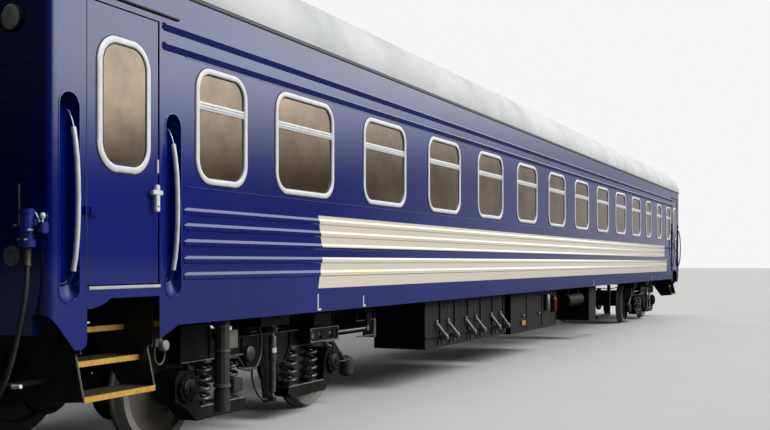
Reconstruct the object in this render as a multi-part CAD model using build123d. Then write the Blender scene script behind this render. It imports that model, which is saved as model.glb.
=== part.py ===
from build123d import *
import math
import os

os.makedirs("parts", exist_ok=True)

# A locomotive-hauled sleeping coach. X runs along it, Y across it, and Z is up from the wheel flanges.
# The near end is at -X and the photographed side is at -Y. All sizes are in millimetres.

# Driving dimensions of the whole coach
RAIL = 28  # rail head above the lowest point of the flanges
BODY_LENGTH = 25500
BODY_WIDTH = 3020
COUPLED_LENGTH = 26696
BOGIE_CENTRES = 19000
WHEELBASE = 2560
WHEEL_DIAMETER = 957
BACK_TO_BACK = 1440

# Heights above the flanges
SILL = RAIL + 1054
FLOOR_TOP = RAIL + 1365
GUTTER = RAIL + 3570
ROOF_TOP = RAIL + 4370
WINDOW_BOTTOM = RAIL + 2140
WINDOW_TOP = RAIL + 3050
DOOR_TOP = RAIL + 3290
DOOR_WINDOW_BOTTOM = RAIL + 2150
DOOR_WINDOW_TOP = RAIL + 3085
TRANSOM_CENTRE = RAIL + 2748
LOW_RIBS = [RAIL + height for height in (1414, 1539, 1668, 1790, 1907)]
HIGH_RIBS = [RAIL + height for height in (3125, 3268)]
AXLE_HEIGHT = WHEEL_DIAMETER / 2 + RAIL
COUPLER_HEIGHT = RAIL + 965

# Walls, floor and roof
WALL = 70
PILLAR = 120
ROOF_SHELL = 60
SHOULDER_RADIUS = 610
FLOOR_THICK = 120
RIB_PROUD = 8
CORNER_RADIUS = 60
CORNER_RETURN = 150

# Places measured from either end of the body
DOOR_FROM, DOOR_TO = 338, 1105
BULKHEAD_AT = 1440
STAIR_DEPTH = 770
GAP = 8
HANDRAIL_AT = (170, 1267)
POCKET_WIDTH = 180
POCKET_DEPTH = 95
POCKET_BOTTOM, POCKET_TOP = RAIL + 1262, RAIL + 2632
PILLAR_TO = 1400

# Windows: centre from the near end and overall width of the frame
WIDE_WINDOW, NARROW_WINDOW = 1090, 720
WINDOW_PITCH = 1752
FIRST_WIDE = 3275
WINDOWS = [(1910, NARROW_WINDOW)]
WINDOWS += [(FIRST_WIDE + WINDOW_PITCH * i, WIDE_WINDOW) for i in range(10)]
WINDOWS += [(20620, NARROW_WINDOW), (22140, NARROW_WINDOW), (23590, NARROW_WINDOW)]
FRAME_RIM = 45
FRAME_RADIUS = 190
CORNER_FLATS = 2
FRAME_PROUD = 6
FRAME_DEPTH = 30
PANE = 24

END = BODY_LENGTH / 2
SIDE = BODY_WIDTH / 2
WINDOW_MIDDLE = (WINDOW_BOTTOM + WINDOW_TOP) / 2
WINDOW_HEIGHT = WINDOW_TOP - WINDOW_BOTTOM
CROWN_RADIUS = (SIDE**2 - 2 * SIDE * SHOULDER_RADIUS + (ROOF_TOP - GUTTER) ** 2) / (
    2 * (ROOF_TOP - GUTTER - SHOULDER_RADIUS)
)


def save(name, shapes):
    """Writes one named piece, or several like pieces on one body, as one file."""
    solids = [solid for shape in shapes for solid in shape.solids()]
    export_step(solids[0] if len(solids) == 1 else Compound(children=solids), f"parts/{name}.step")


def block(x, y, z):
    """A rectangular block from its low and high limits along each axis."""
    size = [b - a for a, b in (x, y, z)]
    return Pos(*((a + b) / 2 for a, b in (x, y, z))) * Box(*size)


def side_plate(points, y):
    """A plate standing along the coach, from an outline of (x, z) points, between two y limits."""
    face = make_face(Polyline(*[(px, y[0], pz) for px, pz in points], close=True))
    return extrude(face, y[1] - y[0], dir=(0, 1, 0))


def cross_plate(points, x):
    """A plate standing across the coach, from an outline of (y, z) points, between two x limits."""
    face = make_face(Polyline(*[(x[0], py, pz) for py, pz in points], close=True))
    return extrude(face, x[1] - x[0], dir=(1, 0, 0))


def flat_plate(points, z):
    """A level plate from an outline of (x, y) points, between two z limits."""
    face = make_face(Polyline(*[(px, py, z[0]) for px, py in points], close=True))
    return extrude(face, z[1] - z[0], dir=(0, 0, 1))


def round_bar(radius, length, flats):
    """A bar standing on its middle: truly round, or with the given number of flats where it is small."""
    if not flats:
        return Cylinder(radius, length)
    return Pos(0, 0, -length / 2) * extrude(RegularPolygon(radius, flats), length)


def rod_x(x, y, z, radius, flats=0):
    return Pos((x[0] + x[1]) / 2, y, z) * Rot(0, 90, 0) * round_bar(radius, x[1] - x[0], flats)


def rod_y(x, y, z, radius, flats=0):
    return Pos(x, (y[0] + y[1]) / 2, z) * Rot(90, 0, 0) * round_bar(radius, y[1] - y[0], flats)


def rod_z(x, y, z, radius, flats=0):
    return Pos(x, y, (z[0] + z[1]) / 2) * round_bar(radius, z[1] - z[0], flats)


def turned(section, flats):
    """A ring turned about a line along Y from its closed (y, radius) section, with even flats round it."""
    spokes = []
    for step in range(flats):
        angle = 2 * math.pi * step / flats
        spokes.append([Vector(r * math.cos(angle), y, r * math.sin(angle)) for y, r in section])
    faces = []
    for a, b in zip(spokes, spokes[1:] + spokes[:1]):
        for i in range(len(section)):
            corners = [a[i - 1], a[i], b[i], b[i - 1]]
            faces.append(Face(Wire.make_polygon(corners, close=True)))
    return Solid(Shell(faces))


def both_sides(shapes):
    return list(shapes) + [mirror(shape, about=Plane.XZ) for shape in shapes]


def both_ends(shapes):
    return list(shapes) + [mirror(shape, about=Plane.YZ) for shape in shapes]


def every_corner(shapes):
    return both_ends(both_sides(shapes))


def turned_round(shapes):
    """The pieces and their copies at the other end, turned half a turn about the coach's middle."""
    return list(shapes) + [Rot(0, 0, 180) * shape for shape in shapes]


def flat_cornered(centre, size, radius, flats):
    """A window outline: a rectangle whose corners are rounded in a few flats."""
    points = []
    quarters = ((1, 1, 0), (-1, 1, 90), (-1, -1, 180), (1, -1, 270))
    for across, up, start in quarters:
        cx = centre[0] + across * (size[0] / 2 - radius)
        cz = centre[1] + up * (size[1] / 2 - radius)
        for step in range(flats + 1):
            angle = math.radians(start + 90 * step / flats)
            points.append((cx + radius * math.cos(angle), cz + radius * math.sin(angle)))
    return points


def from_end(distance):
    return -END + distance


# Roof: one arched shell, a tight shoulder on each side and a wide crown between them
def roof_arcs(inset):
    """The arch in the YZ plane from the +Y side to the -Y side, moved inwards by the inset."""
    shoulder_y, crown_z = SIDE - SHOULDER_RADIUS, ROOF_TOP - CROWN_RADIUS
    lean = math.atan2(shoulder_y, GUTTER - crown_z)
    shoulder, crown = SHOULDER_RADIUS - inset, CROWN_RADIUS - inset
    middle = (math.pi / 2 - lean) / 2
    foot = (SIDE - inset, GUTTER)
    bend = (shoulder_y + shoulder * math.cos(middle), GUTTER + shoulder * math.sin(middle))
    join = (crown * math.sin(lean), crown_z + crown * math.cos(lean))
    top = (0, crown_z + crown)

    def arc(a, b, c):
        return ThreePointArc(*[(0, y, z) for y, z in (a, b, c)])

    def across(point):
        return (-point[0], point[1])

    return [arc(foot, bend, join), arc(join, top, across(join)), arc(across(join), across(bend), across(foot))]


def line_yz(a, b):
    return Line((0, *a), (0, *b))


outer_arcs, inner_arcs = roof_arcs(0), roof_arcs(ROOF_SHELL)
roof_feet = [
    line_yz((-SIDE, GUTTER), (-SIDE + ROOF_SHELL, GUTTER)),
    line_yz((SIDE - ROOF_SHELL, GUTTER), (SIDE, GUTTER)),
]
roof_section = make_face(outer_arcs + inner_arcs + roof_feet)
roof = extrude(Pos(-END, 0, 0) * roof_section, BODY_LENGTH, dir=(1, 0, 0))
save("roof", [roof])

gutter_strip = block((-END + 20, END - 20), (-SIDE - 14, -SIDE), (GUTTER - 34, GUTTER - 4))
save("gutters", both_sides([gutter_strip]))

# Low ventilator domes along the crown
VENT_PLACES = (-8800, -5300, 1700, 5200, 8700)
VENT_RADIUS, VENT_HEIGHT = 230, 40
roof_chord = line_yz((-SIDE, GUTTER), (SIDE, GUTTER))
roof_solid = extrude(Pos(-END, 0, 0) * make_face(outer_arcs + [roof_chord]), BODY_LENGTH, dir=(1, 0, 0))
vents = [rod_z(x, 0, (ROOF_TOP - 30, ROOF_TOP + VENT_HEIGHT), VENT_RADIUS, 12) for x in VENT_PLACES]
save("roof_vents", [vent - roof_solid for vent in vents])

# Side walls: one long panel each side between the door pillars, with pressed ribs and cut windows
panel = block((from_end(PILLAR_TO), -from_end(PILLAR_TO)), (-SIDE, -SIDE + WALL), (SILL, GUTTER))


def rib(x, z, height):
    """A pressed rib with sloping flanks, standing proud of the wall's outer face."""
    flank = RIB_PROUD * 1.2
    half = height / 2
    section = [
        (-SIDE, z - half),
        (-SIDE - RIB_PROUD, z - half + flank),
        (-SIDE - RIB_PROUD, z + half - flank),
        (-SIDE, z + half),
    ]
    return cross_plate(section, x)


low_ribs = [rib((from_end(PILLAR_TO), -from_end(PILLAR_TO)), z, 46) for z in LOW_RIBS]
high_ribs = [rib((from_end(PILLAR_TO), -from_end(PILLAR_TO)), z, 50) for z in HIGH_RIBS]

window_holes, frames, panes = [], [], []
for distance, width in WINDOWS:
    centre = (from_end(distance), WINDOW_MIDDLE)
    outer = flat_cornered(centre, (width, WINDOW_HEIGHT), FRAME_RADIUS, CORNER_FLATS)
    inner_size = (width - 2 * FRAME_RIM, WINDOW_HEIGHT - 2 * FRAME_RIM)
    inner = flat_cornered(centre, inner_size, FRAME_RADIUS - FRAME_RIM, CORNER_FLATS)
    front, back = -SIDE - FRAME_PROUD, -SIDE + FRAME_DEPTH
    window_holes.append(side_plate(outer, (-SIDE - 50, -SIDE + WALL + 50)))
    bar = block(
        (centre[0] - inner_size[0] / 2, centre[0] + inner_size[0] / 2),
        (front + 4, back),
        (TRANSOM_CENTRE - 32, TRANSOM_CENTRE + 32),
    )
    frames.append(side_plate(outer, (front, back)) - side_plate(inner, (front - 1, back + 1)) + bar)
    pane_size = (width - 30, WINDOW_HEIGHT - 30)
    panes.append(side_plate(flat_cornered(centre, pane_size, 145, 1), (back, back + PANE)))


def pocket(x):
    """The arched handrail recess: a slot with round ends pressed into the pillar."""
    half = POCKET_WIDTH / 2
    depth = (-SIDE - 1, -SIDE + POCKET_DEPTH)
    slot = block((x - half, x + half), depth, (POCKET_BOTTOM + half, POCKET_TOP - half))
    for z in (POCKET_BOTTOM + half, POCKET_TOP - half):
        slot += rod_y(x, depth, z, half, 16)
    return slot


side_wall = panel + low_ribs + high_ribs - window_holes
save("side_walls", both_sides([side_wall]))
save("window_frames", both_sides(frames))
save("window_panes", both_sides(panes))

# Door pillars: the panel between door and windows, with a handrail recess and the skirt's rising edge
PILLAR_EDGE = [
    (DOOR_TO, RAIL + 966),
    (1165, RAIL + 985),
    (1250, RAIL + 1018),
    (1325, SILL),
    (PILLAR_TO, SILL),
    (PILLAR_TO, GUTTER),
    (DOOR_TO, GUTTER),
]
door_pillar = side_plate([(from_end(x), z) for x, z in PILLAR_EDGE], (-SIDE, -SIDE + WALL))
door_pillar += block(
    (from_end(DOOR_TO), from_end(BULKHEAD_AT)), (-SIDE + WALL, -SIDE + PILLAR), (FLOOR_TOP, GUTTER)
)
door_pillar += [rib((from_end(1140), from_end(PILLAR_TO)), z, 50) for z in HIGH_RIBS]
door_pillar -= pocket(from_end(HANDRAIL_AT[1]))

# Corner panels: the rounded corner of the body with its handrail recess, down to the stair skirt
corner_plan = flat_plate(
    [
        (from_end(0), -SIDE),
        (from_end(DOOR_FROM), -SIDE),
        (from_end(DOOR_FROM), -SIDE + PILLAR),
        (from_end(WALL), -SIDE + PILLAR),
        (from_end(WALL), -SIDE + CORNER_RETURN),
        (from_end(0), -SIDE + CORNER_RETURN),
    ],
    (RAIL + 950, GUTTER),
)
corner_edge = corner_plan.edges().filter_by(Axis.Z).sort_by(lambda e: e.center().X + e.center().Y)[0]
corner_plan = fillet(corner_edge, CORNER_RADIUS)
corner_outline = [
    (from_end(-10), RAIL + 1200),
    (from_end(212), RAIL + 958),
    (from_end(226), RAIL + 950),
    (from_end(292), RAIL + 950),
    (from_end(326), RAIL + 970),
    (from_end(DOOR_FROM), RAIL + 1003),
    (from_end(DOOR_FROM), GUTTER),
    (from_end(-10), GUTTER),
]
corner = corner_plan & side_plate(corner_outline, (-SIDE - 10, -SIDE + CORNER_RETURN + 10))
save("corner_panels", every_corner([corner - pocket(from_end(HANDRAIL_AT[0])), door_pillar]))

# Door surrounds: the header with its rain strip over each door, and the threshold beam under it
header = block((from_end(DOOR_FROM), from_end(DOOR_TO)), (-SIDE, -SIDE + WALL), (DOOR_TOP, GUTTER))
header += block((from_end(120), from_end(1320)), (-SIDE - 14, -SIDE), (DOOR_TOP + 52, DOOR_TOP + 64))
threshold = block(
    (from_end(DOOR_FROM), from_end(DOOR_TO)), (-SIDE, -SIDE + 60), (FLOOR_TOP - 85, FLOOR_TOP)
)
APRON_LOW, APRON_LONG, APRON_THICK = FLOOR_TOP - 149, 230, 8
apron_corner = (from_end(DOOR_FROM), -SIDE, APRON_LOW)
apron_tip = (from_end(DOOR_FROM + APRON_LONG), -SIDE, FLOOR_TOP - 85)
apron_curve = ThreePointArc(apron_corner, (from_end(DOOR_FROM + 130), -SIDE, APRON_LOW + 16), apron_tip)
apron_edge = Polyline(apron_tip, (from_end(DOOR_FROM), -SIDE, FLOOR_TOP - 85), apron_corner)
threshold += extrude(make_face([apron_curve, apron_edge]), APRON_THICK, dir=(0, 1, 0))
save("door_surrounds", every_corner([header, threshold]))

# Handrails: a bowed tube that stands out of each recess, with its two ends bent back into it
RAIL_TUBE = 15
HANDRAIL_ROUTE = [  # distance outwards from the side, and height above the rail
    (-POCKET_DEPTH - 10, 2545),
    (-20, 2525),
    (40, 2395),
    (78, 2120),
    (78, 1750),
    (40, 1475),
    (-20, 1385),
    (-POCKET_DEPTH - 10, 1375),
]


def handrail(x):
    points = [(x, -SIDE - out, RAIL + z) for out, z in HANDRAIL_ROUTE]
    path = Polyline(*points)
    section = Plane(origin=points[0], z_dir=path % 0) * RegularPolygon(RAIL_TUBE, 6)
    tube = sweep(section, path=path, transition=Transition.RIGHT)
    return tube & block((x - 50, x + 50), (-SIDE - 100, -SIDE + POCKET_DEPTH), (RAIL + 1300, RAIL + 2600))


save("handrails", every_corner([handrail(from_end(place)) for place in HANDRAIL_AT]))

# End walls: ribbed sheet up into the roof arch, with the gangway doorway
GANGWAY_HALF = 390
GANGWAY_TOP = FLOOR_TOP + 1930
wall_half = SIDE - CORNER_RETURN
foot_left = line_yz((-SIDE + ROOF_SHELL, GUTTER), (-wall_half, GUTTER))
wall_left = line_yz((-wall_half, GUTTER), (-wall_half, SILL))
wall_foot = line_yz((-wall_half, SILL), (wall_half, SILL))
wall_right = line_yz((wall_half, SILL), (wall_half, GUTTER))
foot_right = line_yz((wall_half, GUTTER), (SIDE - ROOF_SHELL, GUTTER))
end_face = make_face(inner_arcs + [foot_left, wall_left, wall_foot, wall_right, foot_right])
end_wall = extrude(Pos(-END, 0, 0) * end_face, WALL, dir=(1, 0, 0))
doorway = block((-END - 1, -END + WALL + 1), (-GANGWAY_HALF, GANGWAY_HALF), (FLOOR_TOP, GANGWAY_TOP))
END_RIB_FIRST, END_RIB_PITCH, END_RIB_COUNT = RAIL + 2080, 247, 4
end_ribs = []
for step in range(END_RIB_COUNT):
    z = END_RIB_FIRST + END_RIB_PITCH * step
    section = [(-END, z - 18), (-END - 8, z - 9), (-END - 8, z + 9), (-END, z + 18)]
    end_ribs.append(side_plate(section, (-wall_half + 6, -640)))
end_wall = end_wall - doorway + both_sides(end_ribs)
save("end_walls", both_ends([end_wall]))

# Floors: the long saloon floor, and a vestibule floor at each end with a notch over each stair
FLOOR_LOW = FLOOR_TOP - FLOOR_THICK
INNER_SIDE = SIDE - WALL
saloon = (from_end(BULKHEAD_AT), -from_end(BULKHEAD_AT))
save("floor", [block(saloon, (-INNER_SIDE, INNER_SIDE), (FLOOR_LOW, FLOOR_TOP))])
NOTCHED_EDGE = [  # distance from the end, and half width of the vestibule floor there
    (WALL, SIDE - PILLAR),
    (DOOR_FROM, SIDE - PILLAR),
    (DOOR_FROM, SIDE - STAIR_DEPTH),
    (DOOR_TO, SIDE - STAIR_DEPTH),
    (DOOR_TO, SIDE - PILLAR),
    (BULKHEAD_AT, SIDE - PILLAR),
]
notched_left = [(from_end(x), -y) for x, y in NOTCHED_EDGE]
notched_right = [(x, -y) for x, y in reversed(notched_left)]
vestibule_floor = flat_plate(notched_left + notched_right, (FLOOR_LOW, FLOOR_TOP))
save("vestibule_floors", both_ends([vestibule_floor]))

CENTRE_SILL_HALF = 230
frame_top = FLOOR_LOW
beams = [block((-END + WALL, END - WALL), (-CENTRE_SILL_HALF, CENTRE_SILL_HALF), (SILL, frame_top))]
side_sill = block(
    (from_end(BULKHEAD_AT), -from_end(BULKHEAD_AT)), (-INNER_SIDE, -INNER_SIDE + 90), (SILL + 20, frame_top)
)
beams += both_sides([side_sill])
YAW_EYE = 1955  # distance of the yaw damper's eye from its bogie's middle
YAW_LINE = (-1188, RAIL + 793)  # y and height of the yaw damper's rod
YAW_EYE_RADIUS = 32
EYE_BEARER = BOGIE_CENTRES / 2 - YAW_EYE
CROSS_BEARERS = (-EYE_BEARER, -6300, -4200, -2100, 0, 2100, 4200, 6300, EYE_BEARER)
for x in CROSS_BEARERS:
    beams.append(block((x - 35, x + 35), (-INNER_SIDE, INNER_SIDE), (SILL + 20, frame_top)))
for x in (-BOGIE_CENTRES / 2, BOGIE_CENTRES / 2):
    beams.append(block((x - 260, x + 260), (-INNER_SIDE, INNER_SIDE), (SILL, frame_top)))
for y in (-1120, -760):
    beams += both_sides([block((-EYE_BEARER, EYE_BEARER), (y, y + 60), (SILL + 20, frame_top))])
yaw_bracket = side_plate(
    [
        (-EYE_BEARER - 100, SILL + 20),
        (-EYE_BEARER - 45, YAW_LINE[1] + YAW_EYE_RADIUS + GAP),
        (-EYE_BEARER + 45, YAW_LINE[1] + YAW_EYE_RADIUS + GAP),
        (-EYE_BEARER + 100, SILL + 20),
    ],
    (YAW_LINE[0] - 38, YAW_LINE[0] + 38),
)
beams += every_corner([yaw_bracket])
for end in (-1, 1):
    low, high = sorted((end * (END - WALL), end * (END - 250)))
    beams.append(block((low, high), (-STAIR_DEPTH + 60, STAIR_DEPTH - 60), (SILL, frame_top)))
carrier = block(
    (-END + 120, -END + 260), (-CENTRE_SILL_HALF, CENTRE_SILL_HALF), (COUPLER_HEIGHT - 125, SILL)
)
carrier -= block((-END + 119, -END + 261), (-80, 80), (COUPLER_HEIGHT - 85, COUPLER_HEIGHT + 85))
underframe = beams[0] + beams[1:] + both_ends([carrier])
save("underframe", [underframe])

# Inside walls: the vestibule bulkheads, and the compartment walls that show through the windows
bulkhead_outline = [(-INNER_SIDE + 50, FLOOR_TOP), (INNER_SIDE - 50, FLOOR_TOP)]
bulkhead_outline += [(INNER_SIDE - 50, GUTTER), (-INNER_SIDE + 50, GUTTER)]
bulkhead = cross_plate(bulkhead_outline, (from_end(BULKHEAD_AT - 40), from_end(BULKHEAD_AT)))
save("vestibule_bulkheads", both_ends([bulkhead]))
CORRIDOR_AT = 640
WALL_THIN = 30
CEILING = GUTTER - 30
corridor_wall = block(
    (from_end(BULKHEAD_AT), -from_end(BULKHEAD_AT)), (CORRIDOR_AT, CORRIDOR_AT + WALL_THIN), (FLOOR_TOP, CEILING)
)
cross_walls = []
for i in range(11):
    x = from_end(FIRST_WIDE + WINDOW_PITCH * (i - 0.5))
    cross_walls.append(
        block((x - 15, x + 15), (-INNER_SIDE, CORRIDOR_AT), (FLOOR_TOP, CEILING))
    )
save("compartment_walls", [corridor_wall + cross_walls])

# Steps: three treads between two cheeks under each door
CHEEK = 8
TREADS = [  # depth of the nosing behind the side, depth of the back edge, height of the top
    (44, 310, RAIL + 622),
    (190, 470, RAIL + 844),
    (336, 640, RAIL + 1063),
]
TREAD_THICK = 32
cheek_outline = [
    (-SIDE + 60, FLOOR_LOW + 87),
    (-SIDE + 60, RAIL + 917),
    (-SIDE + 108, RAIL + 915),
    (-SIDE + 34, RAIL + 596),
    (-SIDE + 330, RAIL + 575),
    (-SIDE + 650, RAIL + 1010),
    (-SIDE + 650, FLOOR_LOW + 87),
]
cheek = cross_plate(cheek_outline, (from_end(DOOR_FROM), from_end(DOOR_FROM + CHEEK)))
stairs = cheek + Pos(DOOR_TO - DOOR_FROM - CHEEK, 0, 0) * cheek
for nose, back, top in TREADS:
    stairs += block(
        (from_end(DOOR_FROM + CHEEK), from_end(DOOR_TO - CHEEK)),
        (-SIDE + nose, -SIDE + back),
        (top - TREAD_THICK, top),
    )
save("stair_flights", every_corner([stairs]))
nosings = [
    block(
        (from_end(DOOR_FROM + CHEEK), from_end(DOOR_TO - CHEEK)),
        (-SIDE + nose - 12, -SIDE + nose),
        (top - TREAD_THICK - 4, top + 2),
    )
    for nose, back, top in TREADS
]
save("step_nosings", every_corner(nosings))

# Trap plates: the part of the vestibule floor that lifts to open the stairs
BETWEEN_JAMBS = (from_end(DOOR_FROM + GAP), from_end(DOOR_TO - GAP))
trap = block(
    BETWEEN_JAMBS,
    (-SIDE + WALL + GAP, -SIDE + STAIR_DEPTH - GAP),
    (FLOOR_TOP - 25, FLOOR_TOP),
)

# Side doors: a leaf with a tall round-cornered window, hinged on the jamb nearer the end
DOOR_FACE, DOOR_BACK = -SIDE + 8, -SIDE + 53
DOOR_CENTRE = (DOOR_FROM + DOOR_TO) / 2
door_window = (from_end(DOOR_CENTRE), (DOOR_WINDOW_BOTTOM + DOOR_WINDOW_TOP) / 2)
DOOR_WINDOW_SIZE = (560, DOOR_WINDOW_TOP - DOOR_WINDOW_BOTTOM)
leaf = block(BETWEEN_JAMBS, (DOOR_FACE, DOOR_BACK), (FLOOR_TOP + GAP, DOOR_TOP - GAP))
ring_outline = flat_cornered(door_window, DOOR_WINDOW_SIZE, 200, CORNER_FLATS)
ring = side_plate(ring_outline, (DOOR_FACE - 10, DOOR_FACE))
daylight = flat_cornered(door_window, [size - 2 * FRAME_RIM for size in DOOR_WINDOW_SIZE], 155, CORNER_FLATS)
glass_pocket = flat_cornered(door_window, [size - 40 for size in DOOR_WINDOW_SIZE], 120, 1)
handle_bar = rod_z(from_end(DOOR_TO - 70), DOOR_FACE - 34, (RAIL + 1905, RAIL + 2080), 13, 6)
handle_arm = rod_x((from_end(DOOR_TO - 120), from_end(DOOR_TO - 22)), DOOR_FACE - 34, RAIL + 2030, 11, 6)
handle_boss = rod_y(from_end(DOOR_TO - 70), (DOOR_FACE - 34, DOOR_FACE + 10), RAIL + 2030, 18, 6)
leaf = leaf + ring - side_plate(daylight, (DOOR_FACE - 20, DOOR_BACK + 1))
leaf = leaf - side_plate(glass_pocket, (DOOR_FACE + 20, DOOR_BACK + 1))
leaf = leaf + handle_bar + handle_arm + handle_boss
door_glass = side_plate(
    flat_cornered(door_window, [size - 44 for size in DOOR_WINDOW_SIZE], 120, 1), (DOOR_FACE + 20, DOOR_FACE + 40)
)

CORNERS = [  # name, at the far end, on the far side
    ("near_left", False, False),
    ("near_right", False, True),
    ("far_left", True, False),
    ("far_right", True, True),
]
for name, far_end, far_side in CORNERS:
    for piece, shape in (("side_door", leaf), ("door_glass", door_glass), ("trap", trap)):
        placed = mirror(shape, about=Plane.YZ) if far_end else shape
        placed = mirror(placed, about=Plane.XZ) if far_side else placed
        save(f"{piece}_{name}", [placed])

# Gangway doors in the end walls
end_leaf = block(
    (-END + 12, -END + 52), (-GANGWAY_HALF + GAP, GANGWAY_HALF - GAP), (FLOOR_TOP + GAP, GANGWAY_TOP - GAP)
)
for name, turn in (("near", 0), ("far", 180)):
    save(f"gangway_door_{name}", [Rot(0, 0, turn) * end_leaf])

# Gangway: a steel frame round the doorway, three rubber rolls and a footplate
ROLL_RADIUS = 140
GANGWAY_DEEP = 150
ROLL_AT = -END - GANGWAY_DEEP - ROLL_RADIUS + 15
ROLL_SIDE = 590
ROLL_TOP = GANGWAY_TOP + 230
frame_out = block((-END - GANGWAY_DEEP, -END), (-640, 640), (FLOOR_TOP, GANGWAY_TOP + 290))
frame_in = block((-END - 200, -END + 50), (-GANGWAY_HALF, GANGWAY_HALF), (FLOOR_TOP - 50, GANGWAY_TOP))
save("gangway_frames", both_ends([frame_out - frame_in]))
roll_path = Polyline(*[(ROLL_AT, y, z) for y, z in (
    (-ROLL_SIDE, FLOOR_TOP - 60), (-ROLL_SIDE, ROLL_TOP), (ROLL_SIDE, ROLL_TOP), (ROLL_SIDE, FLOOR_TOP - 60)
)])
roll_section = Plane(origin=roll_path @ 0, z_dir=roll_path % 0) * RegularPolygon(ROLL_RADIUS, 20)
rolls = sweep(roll_section, path=roll_path, transition=Transition.RIGHT)
rolls -= block((-END - GANGWAY_DEEP, -END), (-SIDE, SIDE), (SILL, ROOF_TOP))
save("gangway_rolls", both_ends([rolls]))
footplate = block((-END - 330, -END), (-GANGWAY_HALF + 20, GANGWAY_HALF - 20), (FLOOR_TOP - 30, FLOOR_TOP - 10))
save("gangway_footplates", both_ends([footplate]))

# Couplers: the automatic head with its two teeth, on a shank under the centre sill
HEAD_BACK = -COUPLED_LENGTH / 2 + 400
head_outline = [
    (HEAD_BACK + 60, -85),
    (HEAD_BACK - 90, -185),
    (HEAD_BACK - 230, -215),
    (HEAD_BACK - 320, -190),
    (HEAD_BACK - 330, -95),
    (HEAD_BACK - 210, -75),
    (HEAD_BACK - 190, 20),
    (HEAD_BACK - 280, 60),
    (HEAD_BACK - 400, 75),
    (HEAD_BACK - 395, 165),
    (HEAD_BACK - 260, 215),
    (HEAD_BACK - 90, 185),
    (HEAD_BACK + 60, 85),
]
head = flat_plate(head_outline, (COUPLER_HEIGHT - 150, COUPLER_HEIGHT + 130))
shank = block((HEAD_BACK + 60, -END + 420), (-80, 80), (COUPLER_HEIGHT - 85, COUPLER_HEIGHT + 85))
save("coupler_heads", turned_round([head + shank]))

# Lamps and the electric jumper on the end wall
LAMP_PLACE = (1190, RAIL + 3110)
lamp = rod_x((-END - 50, -END), -LAMP_PLACE[0], LAMP_PLACE[1], 85, 16)
save("marker_lamps", every_corner([lamp]))
JUMPER_X = -END - 70
JUMPER_Y = -1385
CABLE = 32
plug = rod_z(JUMPER_X, JUMPER_Y, (RAIL + 1640, RAIL + 1850), 46, 12)
plug += rod_z(JUMPER_X, JUMPER_Y, (RAIL + 1622, RAIL + 1668), 54, 12)
plug += block((JUMPER_X, -END), (JUMPER_Y - 30, JUMPER_Y + 30), (RAIL + 1690, RAIL + 1800))
sleeve = rod_z(JUMPER_X, JUMPER_Y, (RAIL + 1510, RAIL + 1622), 22, 12)
junction = block((JUMPER_X - 60, -END), (-700, -520), (RAIL + 1080, RAIL + 1260))
save("jumper_sockets", [plug + sleeve, junction])
CABLE_ROUTE = [  # y and height above the rail of each point, all in one plane before the end wall
    (JUMPER_Y, 1510),
    (JUMPER_Y, 1400),
    (-1358, 1255),
    (-1315, 1080),
    (-1255, 880),
    (-1165, 690),
    (-1035, 545),
    (-870, 490),
    (-720, 560),
    (-640, 720),
    (-610, 900),
    (-610, 1080),
]
cable_points = [(JUMPER_X, y, RAIL + z) for y, z in CABLE_ROUTE]
cable_radii = []
for before, here, after in zip(cable_points, cable_points[1:], cable_points[2:]):
    run_in, run_out = Vector(*here) - Vector(*before), Vector(*after) - Vector(*here)
    half_turn = math.radians(run_in.get_angle(run_out)) / 2
    cable_radii.append(0.45 * min(run_in.length, run_out.length) / math.tan(half_turn))
cable_path = FilletPolyline(*cable_points, radius=cable_radii)
cable_section = RegularPolygon(CABLE / 2, 8)
cable = sweep(Plane(origin=cable_points[0], z_dir=cable_path % 0) * cable_section, path=cable_path)
print("cable length", round(cable_path.length), "radii", [round(radius) for radius in cable_radii])
print("cable volume over section times length", cable.volume / (cable_section.area * cable_path.length))
save("jumper_cable", [cable])

# Underfloor equipment hung from the underframe
BATTERY = (6410, 9490)
BATTERY_FACE = -SIDE + 130
BATTERY_POSTS, POST_WIDE = 7, 40
BATTERY_RAILS = [  # low and high edge of each rail, and how far it stands out
    (455, 478, 26),
    (588, 612, 26),
    (884, 898, 8),
    (1030, 1054, 18),
]
battery = block([from_end(x) for x in BATTERY], (BATTERY_FACE, -SIDE + 800), (RAIL + 455, SILL + 20))
for low, high, proud in BATTERY_RAILS:
    rail_depth = (BATTERY_FACE - proud, BATTERY_FACE)
    battery += block([from_end(x) for x in BATTERY], rail_depth, (RAIL + low, RAIL + high))
for post in range(BATTERY_POSTS):
    x = from_end(BATTERY[0] + (BATTERY[1] - BATTERY[0] - POST_WIDE) * post / (BATTERY_POSTS - 1))
    battery += block((x, x + POST_WIDE), (BATTERY_FACE - 18, BATTERY_FACE), (RAIL + 455, SILL))
save("battery_boxes", both_sides([battery]))

LOCKER, LOCKER_FACE, LOCKER_DOORS = (9950, 12580), -SIDE + 160, 3
locker = block([from_end(x) for x in LOCKER], (LOCKER_FACE, -SIDE + 760), (RAIL + 410, SILL + 20))
door_pitch = (LOCKER[1] - LOCKER[0]) / LOCKER_DOORS
for door in range(LOCKER_DOORS):
    x = from_end(LOCKER[0] + door_pitch * door)
    locker -= block((x + 35, x + door_pitch - 35), (LOCKER_FACE, LOCKER_FACE + 10), (RAIL + 450, RAIL + 990))
converter = block((from_end(15040), from_end(15630)), (-SIDE + 160, -SIDE + 900), (RAIL + 360, SILL + 20))
converter += block((from_end(15630), from_end(16820)), (-SIDE + 120, -SIDE + 180), (RAIL + 355, RAIL + 425))
converter += block((from_end(16760), from_end(16820)), (-SIDE + 120, -SIDE + 180), (RAIL + 425, SILL + 20))
save("equipment_boxes", both_sides([locker, converter]))
TANK_LINE, TANK_RADIUS = (-SIDE + 260, RAIL + 810), 120
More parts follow.
